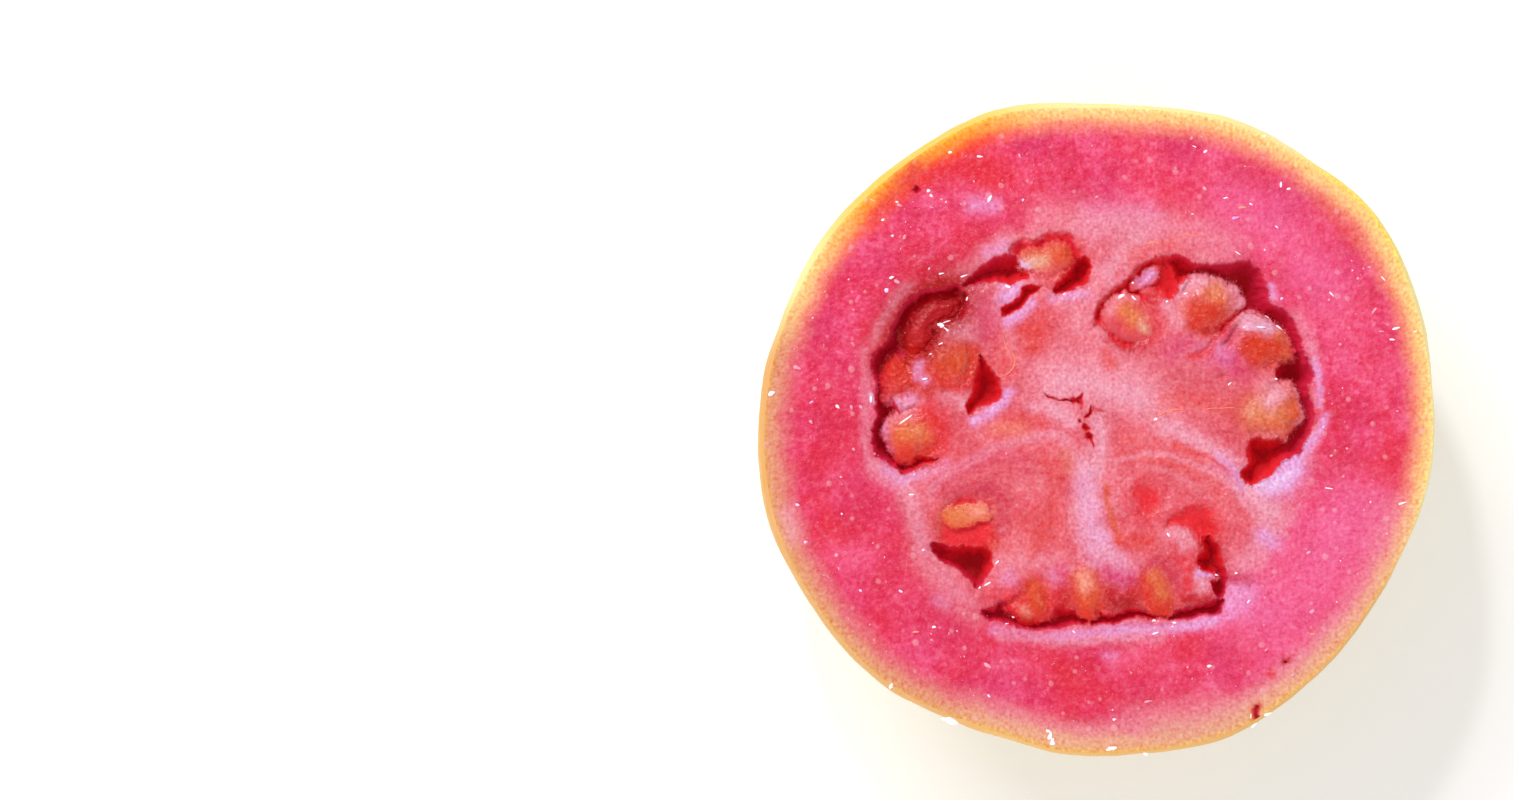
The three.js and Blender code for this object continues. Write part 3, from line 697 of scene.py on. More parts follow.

# The pulp's own colours; the crimson and blood strokes in the clefts under, round and between the seeds are
# painted shade, and the lilac strokes on the lips are painted sheen.
PULP_STROKES = strokes(
    (P.SALMON, 3.5, 0.4, -14, -3, -9, -2, -4, -6, -6, -11, -11, -12),
    (P.SALMON, 3, 0.3, 4, -4, 9, -5, 12, -8, 8, -11, 4, -11),
    (P.PULP_LIGHT, 3, 0.9, -4.5, 5.4, -1, 5.4, 3, 4.6, 6.4, 2.6),
    (P.FROST, 1.6, 0.8, -3.6, 4.6, -0.6, 4.4, 2.6, 3.4, 5.2, 2.8),
    (P.FROST, 0.8, 0.8, -6.4, 2.2, -4, 1.8, -2.6, 0.8),
    (P.FROST, 0.9, 0.8, -0.2, 1, 0.2, -0.6, 0, -2.6, -0.6, -4.4),
    (P.FROST, 1.4, 0.95, -1.6, -3.6, -1.2, -6, -1, -9, 0.4, -11.6),
    (P.LILAC_TINT_AND_SHEEN, 1.1, 0.35, -1.6, -4.8, -0.8, -7.6, -0.8, -10.6, -0.2, -12.6),
    (P.LILAC_TINT_AND_SHEEN, 0.9, 0.6, 0.8, -10.6, 2, -13, 2.6, -14.4),
    (P.FROST, 1.5, 0.7, 1, -12, 2.4, -13.8),
    (P.FROST, 0.9, 0.9, 6.6, 0.4, 9.4, -1, 12, -2.6, 13.2, -4.2, 14.6, -6, 16.4, -7.8),
    (P.LILAC_TINT_AND_SHEEN, 0.8, 0.8, 11.6, -3, 12.8, -4, 13.4, -5.2),
    (P.FROST, 0.5, 0.5, -16.4, -6, -14.6, -4.2, -11, -2.2, -7, -0.8, -3.6, -0.6, -2.6, -3.4),
    (P.MAGENTA, 1, 0.3, -15.6, -5, -12.4, -3.2, -9, -2.4, -7, -3.2),
    (P.CORAL, 1.6, 0.3, -9.4, -7.4, -7.4, -8.6, -6.4, -9.4),
    (P.PULP_DARK, 1.2, 0.5, -14.2, -5.8, -11, -5.6, -9.6, -7),
    (P.PULP_DARK, 1.4, 0.4, -3.4, -5.2, -5.4, -3.6, -9, -4),
    (P.SALMON, 1.6, 0.5, 3.2, -1, 6.6, -2.6, 9.4, -3.6, 12, -5.6),
    (P.PULP_DARK, 1.2, 0.5, 6.8, -10.8, 7, -12.6, 5.4, -12),
    (P.SALMON, 1.3, 0.7, 6.6, 2.8, 10, 2.8, 13.2, 2.4),
    (P.CORAL, 0.8, 0.5, 8, 3.4, 10.6, 3),
    (P.PULP_DARK, 1.8, 0.5, 7, 5.4, 10.4, 4.6, 13.4, 4, 13.8, 1),
    (P.MAGENTA, 1.1, 0.5, 7, 7.6, 8.8, 8.8, 10.8, 7.2, 12.6, 6.8),
    (P.PULP_DARK, 1.2, 0.4, 3, -3.4, 7.4, -5, 10, -5.8),
    (P.CORAL, 0.7, 0.45, 2.2, -2.6, 4.4, -3.4, 6.6, -3.2),
    (P.FROST, 0.32, 0.45, 1.6, -3, 5, -2.2, 8.6, -3, 11.9, -4.7, 13.9, -6.7, 15.6, -9),
    (P.CORAL, 0.3, 0.7, 7.3, -1.4, 10.6, -2.7, 12.6, -4),
    (P.PULP_LIGHT, 0.35, 0.45, 3.6, -3.4, 6, -3.7, 8.6, -5, 10.6, -6.7),
    (P.CORAL, 1.2, 0.75, -6.8, 9.6, -5.8, 9.2, -6.2, 8.2),
    (P.CORAL, 1.5, 0.5, -5.2, 11.4, -7.2, 9, -8.6, 7.6),
    (P.CORAL, 1.1, 0.6, -9.2, 6.6, -9.4, 5.6),
    (P.MAGENTA, 1.4, 0.5, -12, 12.4, -10.6, 11.4, -11.4, 9.6),
    (P.PULP_LIGHT, 0.8, 0.5, -9.8, 12.6, -8.8, 9.6, -8.4, 8),
    (P.LILAC_TINT_AND_SHEEN, 0.8, 0.8, -8.9, 14.1, -8, 13.8, -8.8, 13, -9.2, 12.8),
    (P.LILAC_TINT_AND_SHEEN, 0.6, 0.8, -8.9, 10.6, -7.4, 11.4, -6.6, 12.4),
    (P.LILAC_TINT_AND_SHEEN, 0.6, 0.7, -4.4, 12.8, -2.6, 13, -1.2, 13.2),
    (P.PULP_LIGHT, 1, 0.6, -3.6, 12, -1.2, 11.8, -0.4, 13.4, -0.2, 15.4),
    (P.FROST, 1, 0.6, 0.8, 15.4, 2.2, 17, 3.6, 18.4),
    (P.SALMON, 0.8, 0.6, 3.4, 17, 5.2, 17.5, 7.4, 18),
    (P.CORAL, 0.75, 0.7, 0.7, 7.4, 1.2, 6.4),
    (P.CORAL, 1, 0.75, -9.4, 0.4, -7.6, 0.9, -6, 0.9),
    (P.PEACH, 0.8, 0.5, -9.8, 0.2, -7.8, 0.2),
    (P.LILAC_TINT_AND_SHEEN, 0.55, 0.9, -12.2, 0.9, -10.8, 1.6, -9.8, 2.3, -9, 2.9, -8.8, 3.6),
    (P.PULP_DARK, 1, 0.5, -14.4, 2.6, -13.6, 1, -12.8, -1.4),
    (P.AMBER, 0.7, 0.6, -3.3, -2.2, -3, -3.6),
    (P.CORAL, 1, 0.5, -5.4, -2.6, -4, -4.6),
    (P.CORAL, 0.7, 0.5, -4.4, -6.6, -5, -9.4, -6.4, -11.6),
    (P.AMBER, 0.36, 0.8, 0.7, -5.4, 0.9, -7.4, 1.4, -9, 1.9, -10.6),
    (P.CORAL, 1, 0.8, 2.4, -10.8, 4.4, -10.8),
    (P.SCARLET, 1.3, 0.8, 3.9, -6, 5.2, -6.6, 4.6, -7.8),
    (P.SCARLET, 1.1, 0.8, 7, -8.8, 8.6, -8, 10.4, -8, 11, -9.6),
    (P.BLOOD, 0.9, 0.85, 10.4, -12.4, 10.8, -10.6, 11.7, -12.6),
    (P.SCARLET, 1.1, 0.75, 8.6, -12.6, 9, -14, 8.6, -15.4),
    (P.FROST, 0.6, 0.8, 9.7, -14.1, 10, -15, 9.8, -15.6),
    (P.LILAC_TINT_AND_SHEEN, 0.35, 0.9, 9.6, -13.8, 10.6, -13.9, 11.5, -14),
    (P.FROST, 0.8, 0.6, 7, -9.9, 8, -10.2, 8.4, -11),
    (P.CLARET, 0.6, 0.7, 12.6, -14.2, 13.6, -14.4, 14.4, -14.6),
    (P.VERMILION, 1.2, 1, -14.4, -10.2, -12.6, -10.2, -10.8, -9.8, -10.6, -11.2),
    (P.CLARET, 0.9, 0.55, -14.6, -6.4, -12.4, -6, -10.4, -5.8, -9.8, -7.4, -9.8, -9.6),
    (P.SCARLET, 0.8, 0.8, -9, -16.4, -8, -16.4),
    (P.LILAC_TINT_AND_SHEEN, 1, 0.6, -8.8, -14.2, -7.8, -15.2),
    (P.LILAC_TINT_AND_SHEEN, 0.8, 0.6, -4.6, -14, -4, -14.8),
    (P.PULP_LIGHT, 1, 0.6, -9.6, -12.6, -6.4, -13, -4, -12.6),
    (P.MAGENTA, 0.9, 0.6, -3.8, -13.6, -3, -14.6),
    (P.BLOOD, 1, 1.1, -3.4, -15.8, -3.4, -17),
    (P.MAGENTA, 1.2, 0.8, 1, -14, 3, -14.6),
    (P.BLOOD, 1.1, 1.2, 1, -15.8, 2.2, -16.6, 3.2, -16),
    (P.CRIMSON_SHADE, 0.7, 1, 0.9, -16.6, 2.2, -16.9, 3.4, -16.6),
    (P.CRIMSON_SHADE, 0.5, 1, -3.3, -16.2, -3.2, -17.6),
    (P.CLARET, 0.5, 0.6, 3.9, -14.6, 4.4, -13.4, 5.6, -12.8, 7, -13.8, 7.6, -15.2),
    (P.BLOOD, 0.7, 1.1, 8.2, -16.4, 10.4, -16.5),
    (P.CRIMSON_SHADE, 0.6, 0.8, 8.2, -17.4, 9.8, -17, 11.4, -16.8),
    (P.SCARLET, 1, 0.7, 4.2, 13.5, 5.6, 13.2, 6.2, 12.8),
    (P.CRIMSON_SHADE, 0.4, 0.9, 8.6, 15.8, 8.1, 14.8, 7.6, 13.6),
    (P.FROST, 0.7, 0.7, 6.4, 12, 7.4, 11.6, 7.6, 10.6),
    (P.CRIMSON_SHADE, 0.28, 0.9, -0.4, 10.4, 0, 12, 1.1, 13.4, 2.6, 14.5, 3.8, 15.8),
    (P.BLOOD, 0.6, 0.8, 1.2, 8.9, 2.8, 8.2, 4.4, 8.4, 5.2, 9.2),
    (P.SCARLET, 0.9, 0.6, 4.8, 9, 5.8, 10.2, 5.2, 11.8),
    (P.SCARLET, 0.3, 0.9, 8.7, 7.3, 9.8, 7.1, 10.7, 7.7, 11.2, 8.8),
    (P.LILAC_TINT_AND_SHEEN, 0.7, 0.6, 11.8, 8, 12.4, 7, 13, 7.6),
    (P.BLOOD, 0.3, 0.9, 12, 9.3, 12.8, 10, 13.6, 11.2, 14.2, 12),
    (P.CRIMSON_SHADE, 0.7, 0.7, -17, 3.7, -15.6, 4.1, -13.6, 3.9, -12.2, 4.2),
    (P.SCARLET, 0.9, 0.6, -12, 6.8, -12.2, 5, -13, 4.2),
    (P.FROST, 0.7, 0.7, -15, 3.2, -14, 3.4, -13, 2.6),
)

# Colours inside the hollows: the claret of the outer wall is its own colour; the darkest reds in the deepest
# corners and under the seeds are painted shade.
HOLLOW_STROKES = strokes(
    (P.CLARET, 0.7, 0.9, 16.4, 13.6, 17.6, 12, 19.4, 9.6, 20.4, 7, 20.5, 4.8, 20.3, 3, 20.4, 1),
    (P.DARKEST_SHADE, 1, 1, 17, 6.1, 18.6, 5.7, 19.2, 6),
    (P.BLOOD, 0.9, 0.8, 8.6, 16, 11, 15.8, 13.6, 15.8),
    (P.CRIMSON_SHADE, 0.8, 0.8, 15.4, -1.4, 16.8, -1.6, 18, -1.6),
    (P.SCARLET, 0.6, 0.7, 15, -4, 16.4, -3.6, 18.2, -2.6),
    (P.CLARET, 0.5, 0.8, -21.9, 6.6, -21.6, 4, -21.6, 1.8, -21.9, -1.6, -20.6, -2.8),
    (P.DARKEST_SHADE, 0.9, 0.9, -20.6, 7.4, -20, 9.4, -19.4, 11.4),
    (P.SCARLET, 1.2, 0.9, -17.6, 13, -15.6, 13.6, -14, 13.4),
    (P.SCARLET, 0.9, 0.9, -15.6, -11.2, -14.4, -11.8),
    (P.DARKEST_SHADE, 0.8, 0.7, -12.4, -12.6, -11.8, -13.8),
    (P.CRIMSON_SHADE, 0.8, 0.8, -10.8, 6, -10.6, 4, -11.8, 2.6),
)

# The lumps' and seeds' own orange, gold and pink, with light and shade painted on them: frost, ice and lilac
# on their upper sides as painted highlight and sheen, deeper reds on their lower and far sides as painted
# shade.
SEED_STROKES = strokes(
    (P.PULP_LIGHT, 2.4, 0.75, 9, 12.6, 10.4, 13.2, 12.4, 12.8),
    (P.FROST, 0.9, 0.95, 8, 13.6, 9.4, 14.6, 11, 14.5, 12.6, 13.8),
    (P.FROST, 0.7, 0.9, 12.6, 14, 13.5, 13.2, 13.9, 12.2),
    (P.AMBER, 1.5, 0.85, 9.6, 11.7, 10.6, 11.6, 11.6, 12),
    (P.GOLD, 0.85, 0.9, 10.8, 13.4, 11.3, 12.6, 11.4, 13.8),
    (P.FLAME, 1.4, 1.1, 9.6, 11.4, 10.4, 11.3, 11.4, 11),
    (P.VERMILION, 0.9, 1.1, 9.2, 10.2, 10.4, 9.9, 11.6, 10),
    (P.MAGENTA, 1.3, 0.55, 12.8, 9, 12.8, 7, 14, 6),
    (P.FROST, 1, 0.95, 14.2, 10.8, 15.6, 10.8, 16.8, 10),
    (P.ICE_HIGHLIGHT, 0.5, 0.7, 14.4, 10, 15.6, 9.9, 16.6, 9.8),
    (P.GOLD, 0.7, 0.9, 17.4, 9, 17.9, 7.8, 17.8, 7),
    (P.VERMILION, 1.5, 1.2, 14.8, 8, 15.6, 7.4, 16.4, 7.2),
    (P.FLAME, 1.15, 1.5, 15.6, 8, 16.2, 7.6, 16.5, 8),
    (P.PULP_LIGHT, 1.3, 0.9, 16.4, 4.2, 18, 4.2, 18.8, 3),
    (P.AMBER, 1.9, 1, 15.2, 1.6, 17.4, 1.2, 18.8, 2.4),
    (P.SAND, 1, 0.8, 15, 1.8, 16, 2.2),
    (P.GOLD, 1.3, 1, 16, 1.8, 17.4, 2.2, 18, 1.6),
    (P.FROST, 0.9, 0.9, 16.6, 2.8, 17.4, 3.4),
    (P.AMBER, 0.9, 0.8, 18.4, 2.4, 18.8, 1.4),
    (P.FROST, 0.4, 0.8, 19.2, 4.2, 19.6, 3, 20, 1.6, 19.4, 0.6),
    (P.PULP_DARK, 1.2, 0.8, 1.4, 11.2, 2, 9.6, 4, 9.2),
    (P.FROST, 0.6, 0.7, 1.2, 11.8, 2.2, 12.9, 3.4, 12.6),
    (P.CORAL, 1.5, 0.8, 3, 11.4, 3.8, 10.4),
    (P.GOLD, 0.95, 1, 2.6, 11.6, 3.5, 10.8),
    (P.SAND, 0.5, 0.9, 4.2, 10.3, 4.4, 9.9),
    (P.LILAC_TINT_AND_SHEEN, 0.6, 0.8, 4.2, 14.4, 5.2, 15.2),
    (P.CORAL, 1.4, 0.9, -4, 15.4, -3, 16.2, -3, 17.4),
    (P.AMBER, 1.2, 0.95, -6.6, 16.8, -5, 17.2, -3.6, 17),
    (P.SAND, 0.7, 1, -6.8, 16.2, -5.4, 16.4),
    (P.ICE_HIGHLIGHT, 0.5, 0.9, -7.4, 16, -7, 15.8),
    (P.FROST, 1.5, 0.95, -15, 9.8, -13.6, 9.6, -13.2, 8.6),
    (P.BLOOD, 1, 0.9, -12.2, 7.6, -12.2, 5.4),
    (P.SCARLET, 1, 0.9, -13, 7.6, -13, 5.2),
    (P.SCARLET, 1.1, 1, -15.8, 5.4, -14, 4.8),
    (P.VERMILION, 1.9, 1, -15, 6.2, -13.4, 6.4),
    (P.AMBER, 1.5, 1.1, -15, 6.9, -14, 6.8, -13.8, 7),
    (P.CRIMSON_SHADE, 3, 1.6, -18, 9, -17, 11, -15, 12.6),
    (P.BLOOD, 1.3, 0.5, -17.4, 9, -17, 10.6, -15.6, 12),
    (P.VERMILION, 2.2, 1.1, -19.8, 6.4, -18.2, 5.6, -18.6, 3.6),
    (P.VERMILION, 1.1, 0.9, -19.2, 6.2, -18.8, 4.2),
    (P.LILAC_TINT_AND_SHEEN, 0.5, 0.6, -17.4, 6.4, -17.6, 5.4, -16.8, 4.8),
    (P.LILAC_TINT_AND_SHEEN, 0.8, 0.9, -19.6, 2.3, -18.6, 2.2, -18.2, 2.8),
    (P.FROST, 1.3, 0.8, -20.4, 0.4, -19.2, 1.6, -17.8, 1.8),
    (P.LILAC_TINT_AND_SHEEN, 0.5, 0.9, -20.9, 0.4, -20.6, -0.6, -20.2, -1.6),
    (P.CORAL, 2, 0.9, -18.6, -1, -17, -0.6),
    (P.SCARLET, 1.3, 1.1, -16.8, 1.6, -15.8, 0.4, -15.8, -1, -16.6, -2),
    (P.VERMILION, 0.9, 0.7, -16.8, -1.4, -18.6, -2),
    (P.AMBER, 1.4, 1.1, -19, -0.4, -17.6, -0.4),
    (P.GOLD, 0.9, 0.8, -18.8, -0.2, -17.4, -0.2),
    (P.VERMILION, 0.8, 0.9, -19.2, -2.4, -17.8, -2.6, -16.8, -2.6),
    (P.SCARLET, 2.2, 1.1, -8, -17, -5.6, -17),
    (P.VERMILION, 1.3, 1.2, -6.5, -15.4, -6, -17.6),
    (P.AMBER, 0.8, 0.8, -6.2, -15.2, -5.9, -16.6),
    (P.PEACH, 0.45, 0.7, -7.4, -17.4, -6.8, -17.7),
    (P.VERMILION, 1.3, 1.6, -1.4, -15, -0.9, -17.4),
    (P.AMBER, 1, 1.3, -1.4, -14.6, -1, -16),
    (P.PEACH, 0.8, 1.2, -1.4, -14.2, -1.3, -14.8),
    (P.VERMILION, 1.4, 1.6, 5.2, -15, 6, -17),
    (P.GOLD, 0.8, 0.7, 5.4, -14.2, 6.2, -15.8),
    (P.AMBER, 1.3, 1.3, -14.2, -8.4, -11.6, -8.1),
    (P.GOLD, 0.9, 0.9, -14.2, -8.2, -12.6, -8),
    (P.PEACH, 0.8, 0.9, -12, -7.8, -11.2, -7.8),
)


def lay_strokes(points: Array, colours: Array, laid: list[Stroke],
                patchiness: float = 0.4) -> None:
    """Lays strokes over colours, in order.

    Args:
        points: places on the cut face, shape (n, 2).
        colours: linear colours at those places, changed in place, shape (n, 3).
        laid: the strokes.
        patchiness: how unevenly they take.
    """
    ragged = np.column_stack([fractal_noise(points, 1.3, 601), fractal_noise(points, 1.3, 607)])
    fine = np.column_stack([gradient_noise(points, 0.35, 613), gradient_noise(points, 0.35, 617)])
    shifted = points + 0.28 * ragged + 0.10 * fine
    patchy = 1 + patchiness * fractal_noise(points, 0.7, 619)
    for stroke in laid:
        near = near_line(shifted, stroke.line, 2.2 * stroke.width + 0.3)
        gaps, _ = nearest_on_line(shifted[near], stroke.line, closed=False)
        cover = np.exp(-((gaps / stroke.width) ** 2)) * patchy[near]
        share = np.clip(stroke.strength * cover, 0, 1)[:, None]
        colours[near] += (stroke.pigment.linear() - colours[near]) * share


# ------------------------------ the fruit's edge


@dataclass(frozen=True)
class RimPatch:
    """A stretch of the fruit's edge with its own colours.

    It is full up to one distance from its middle direction and gone at another, in degrees. Its
    layers are the skin, the flesh under it and the blush inside that, down to the reach.
    """

    middle: float
    full: float
    fades: float
    skin: Pigment
    under: Pigment
    blush: Pigment
    reach: float

    def blend_in(self, degrees: Array, stops: Array) -> None:
        """Blends the patch's layers and reach into what each direction has.

        Args:
            degrees: directions, shape (n,).
            stops: three colours and a reach for each, changed in place, shape (n, 10).
        """
        away = np.abs((degrees - self.middle + 180) % 360 - 180)
        layers = [pigment.linear() for pigment in (self.skin, self.under, self.blush)]
        share = smooth_step(self.fades, self.full, away)[:, None]
        stops += (np.concatenate([*layers, [self.reach]]) - stops) * share


RIM_PATCHES = (
    RimPatch(0, 180, 181, P.STRAW, P.BUTTER, P.APRICOT, 3.7),
    RimPatch(285, 40, 68, P.HONEY, P.FAWN, P.DUSK, 4.5),
    RimPatch(203, 34, 50, P.OCHRE, P.BISCUIT, P.BRICK, 3.9),
    RimPatch(40, 5, 18, P.CITRON, P.BUTTER, P.APRICOT, 4.4),
    RimPatch(124, 9, 28, P.MARIGOLD, P.TANGERINE, P.FLARE, 4.0),
)


def rim_colours(angle: Array, depth: Array) -> tuple[Array, Array]:
    """Colour of the edge and how far it covers the flesh.

    Args:
        angle: directions from the middle, in radians, shape (n,).
        depth: distances in from the fruit's outside, shape (n,).

    Returns:
        Linear colours, shape (n, 3), and cover from 0 to 1, shape (n,).
    """
    here = np.zeros((len(angle), 10))
    for patch in RIM_PATCHES:
        patch.blend_in(np.degrees(angle), here)
    skin, under, blush, reach = here[:, :3], here[:, 3:6], here[:, 6:9], here[:, 9]
    share = depth / reach
    colours = mixed(skin, under, smooth_step(0.10, 0.30, share)[:, None])
    return mixed(colours, blush, smooth_step(0.30, 0.66, share)[:, None]), smooth_step(1.02, 0.55, share)


# ------------------------------ shader node groups


class NodeTree:
    """Short ways to place and join shader nodes in one tree."""

    def __init__(self, tree: bpy.types.NodeTree) -> None:
        """Keeps the tree that the nodes go in."""
        self.tree = tree

    def node(self, kind: str, **settings: object) -> bpy.types.Node:
        """Places a node.

        Args:
            kind: its type.
            settings: properties to set.

        Returns:
            The node.
        """
        made = self.tree.nodes.new(kind)
        for name, value in settings.items():
            setattr(made, name, value)
        return made

    def feed(self, socket: Socket, value: object) -> None:
        """Sets a socket, or links it.

        Args:
            socket: the input.
            value: a number, a colour or the output to link.
        """
        if isinstance(value, Socket):
            self.tree.links.new(value, socket)
        elif isinstance(value, tuple) and len(value) == 3 and socket.type == "RGBA":
            socket.default_value = (*value, 1.0)
        else:
            socket.default_value = value

    def mask(self, name: str) -> Socket:
        """A value kept on the mesh's vertices."""
        return self.node("ShaderNodeAttribute", attribute_name=name).outputs["Fac"]

    def painted(self) -> Socket:
        """The colour kept on the mesh's vertices."""
        return self.node("ShaderNodeAttribute", attribute_name="paint").outputs["Color"]

    def place(self) -> Socket:
        """Places in the object's own space."""
        return self.node("ShaderNodeTexCoord").outputs["Object"]

    def texture(self, kind: str, scale: object, **settings: object) -> bpy.types.Node:
        """Places a texture in the object's own space.

        Args:
            kind: its type, after ShaderNodeTex.
            scale: a number or an output.
            settings: properties to set.

        Returns:
            The node.
        """
        made = self.node("ShaderNodeTex" + kind, **settings)
        self.feed(made.inputs["Vector"], self.place())
        self.feed(made.inputs["Scale"], scale)
        return made

    def times(self, first: object, second: object) -> Socket:
        """The product of two values."""
        return self.math("MULTIPLY", first, second)

    def math(self, operation: str, *values: object, clamp: bool = False) -> Socket:
        """Calculates with values.

        Args:
            operation: the calculation.
            values: numbers or outputs.
            clamp: whether to hold the result between 0 and 1.

        Returns:
            The result.
        """
        made = self.node("ShaderNodeMath", operation=operation, use_clamp=clamp)
        for socket, value in zip(made.inputs, values):
            self.feed(socket, value)
        return made.outputs[0]

    def deepened(self, colour: Socket, power: float) -> Socket:
        """Makes a colour deeper and more saturated.

        Args:
            colour: the colour.
            power: how much, with 1 for no change.

        Returns:
            The deeper colour.
        """
        deeper = self.node("ShaderNodeGamma")
        self.feed(deeper.inputs[0], colour)
        deeper.inputs[1].default_value = power
        return deeper.outputs[0]

    def blend(self, share: object, first: object, second: object) -> Socket:
        """Blends two colours.

        Args:
            share: how much of the second.
            first: a colour.
            second: a colour.

        Returns:
            The blend.
        """
        made = self.node("ShaderNodeMix", data_type="RGBA")
        self.feed(made.inputs[0], share)
        self.feed(made.inputs[6], first)
        self.feed(made.inputs[7], second)
        return made.outputs[2]

    def between(self, value: object, low: float, high: float, to_low: float = 0.0,
                to_high: float = 1.0) -> Socket:
        """Carries a value smoothly from one range to another, held at its ends.

        Args:
            value: the value.
            low: start of its range.
            high: end of its range.
            to_low: result at the start.
            to_high: result at the end.

        Returns:
            The result.
        """
        made = self.node("ShaderNodeMapRange", interpolation_type="SMOOTHSTEP")
        for socket, given in zip(made.inputs, (value, low, high, to_low, to_high)):
            self.feed(socket, given)
        return made.outputs[0]

    def noise(self, size: float, detail: float, stretch: Colour = (1, 1, 1)) -> Socket:
        """Places noise in the object's own space.

        Args:
            size: size of its bumps, in millimetres.
            detail: how many finer sizes it adds.
            stretch: scale along each axis.

        Returns:
            The noise.
        """
        mapping = self.node("ShaderNodeMapping")
        self.feed(mapping.inputs["Vector"], self.place())
        mapping.inputs["Scale"].default_value = stretch
        made = self.node("ShaderNodeTexNoise")
        self.feed(made.inputs["Vector"], mapping.outputs[0])
        made.inputs["Scale"].default_value = 1 / (size * MILLIMETRE)
        made.inputs["Detail"].default_value = detail
        made.inputs["Roughness"].default_value = 0.55
        return made.outputs[0]


@dataclass(frozen=True)
class GroupSocket:
    """A named value that a node group takes in or puts out."""

    name: str
    default: float = 0.0


StartedGroup = tuple[bpy.types.NodeTree, NodeTree, bpy.types.Node, bpy.types.Node]


def start_group(name: str, inputs: tuple[GroupSocket, ...],
                outputs: tuple[GroupSocket, ...]) -> StartedGroup:
    """Makes an empty node group with its sockets.

    Args:
        name: the group's name.
        inputs: its inputs, in order.
        outputs: its outputs, in order.

    Returns:
        The group, its NodeTree helper, its input node and its output node.
    """
    group = bpy.data.node_groups.new(name, "ShaderNodeTree")
    for sockets, side in ((inputs, "INPUT"), (outputs, "OUTPUT")):
        for socket in sockets:
            made = group.interface.new_socket(socket.name, in_out=side, socket_type="NodeSocketFloat")
            if side == "INPUT":
                made.default_value = socket.default
    tree = NodeTree(group)
    return group, tree, tree.node("NodeGroupInput"), tree.node("NodeGroupOutput")


def mottle_group() -> bpy.types.NodeTree:
    """Cloudy patches at two sizes, as a mask. Size is the large patches', in metres.

    Returns:
        A group with the inputs Size and Contrast and the output Mask.
    """
    group, tree, given, result = start_group(
        "fruit_mottle",
        (GroupSocket("Size", 0.004), GroupSocket("Contrast", 2.0)), (GroupSocket("Mask"),))
    scale = tree.math("DIVIDE", 1.0, given.outputs["Size"])
    layers = []
    for finer, detail in ((1.0, 2.0), (4.3, 3.0)):
        noise = tree.texture("Noise", tree.times(scale, finer))
        noise.inputs["Detail"].default_value = detail
        layers.append(noise.outputs[0])
    both = tree.math("MULTIPLY_ADD", layers[1], 0.45, tree.times(layers[0], 0.55))
    spread = tree.times(tree.math("SUBTRACT", both, 0.5), given.outputs["Contrast"])
    tree.feed(result.inputs["Mask"], tree.math("ADD", spread, 0.5, clamp=True))
    return group


def grain_group() -> bpy.types.NodeTree:
    """Scattered round grains, as the stone cells in fruit flesh.

    Returns:
        A group with the inputs Size, in metres, and Share, how many places hold a grain, and
        the outputs Mask and Height.
    """
    group, tree, given, result = start_group(
        "stone_grains",
        (GroupSocket("Size", 0.0007), GroupSocket("Share", 0.3)),
        (GroupSocket("Mask"), GroupSocket("Height")))
    cells = tree.texture("Voronoi", tree.math("DIVIDE", 1.0, given.outputs["Size"]))
    parted = tree.node("ShaderNodeSeparateColor")
    tree.feed(parted.inputs[0], cells.outputs["Color"])
    chosen = tree.math("LESS_THAN", parted.outputs[0], given.outputs["Share"])
    radius = tree.math("MULTIPLY_ADD", parted.outputs[1], 0.2, 0.18)
    away = tree.math("DIVIDE", cells.outputs["Distance"], radius)
    height = tree.times(tree.math("SUBTRACT", 1.0, away, clamp=True), chosen)
    tree.feed(result.inputs["Height"], height)
    tree.feed(result.inputs["Mask"], tree.between(height, 0.05, 0.5))
    return group


def tissue_group() -> bpy.types.NodeTree:
    """Fine wet tissue: a height made of small soft cells with torn fibres across them.

    Returns:
        A group with the input Size, in metres, and the output Height.
    """
    group, tree, given, result = start_group(
        "wet_tissue", (GroupSocket("Size", 0.0005),), (GroupSocket("Height"),))
    scale = tree.math("DIVIDE", 1.0, given.outputs["Size"])
    cells = tree.texture("Voronoi", scale, feature="SMOOTH_F1")
    noise = tree.texture("Noise", tree.times(scale, 0.6))
    noise.inputs["Detail"].default_value = 5.0
    noise.inputs["Roughness"].default_value = 0.65
    soft = tree.times(tree.math("SUBTRACT", 1.0, cells.outputs["Distance"]), 0.5)
    tree.feed(result.inputs["Height"], tree.math("MULTIPLY_ADD", noise.outputs[0], 0.8, soft))
    return group


@dataclass(frozen=True)
class Effects:
    """The node groups that the finishes share."""

    mottle: bpy.types.NodeTree
    grains: bpy.types.NodeTree
    tissue: bpy.types.NodeTree

    @staticmethod
    def build() -> "Effects":
        """Makes every group once."""
        return Effects(mottle_group(), grain_group(), tissue_group())


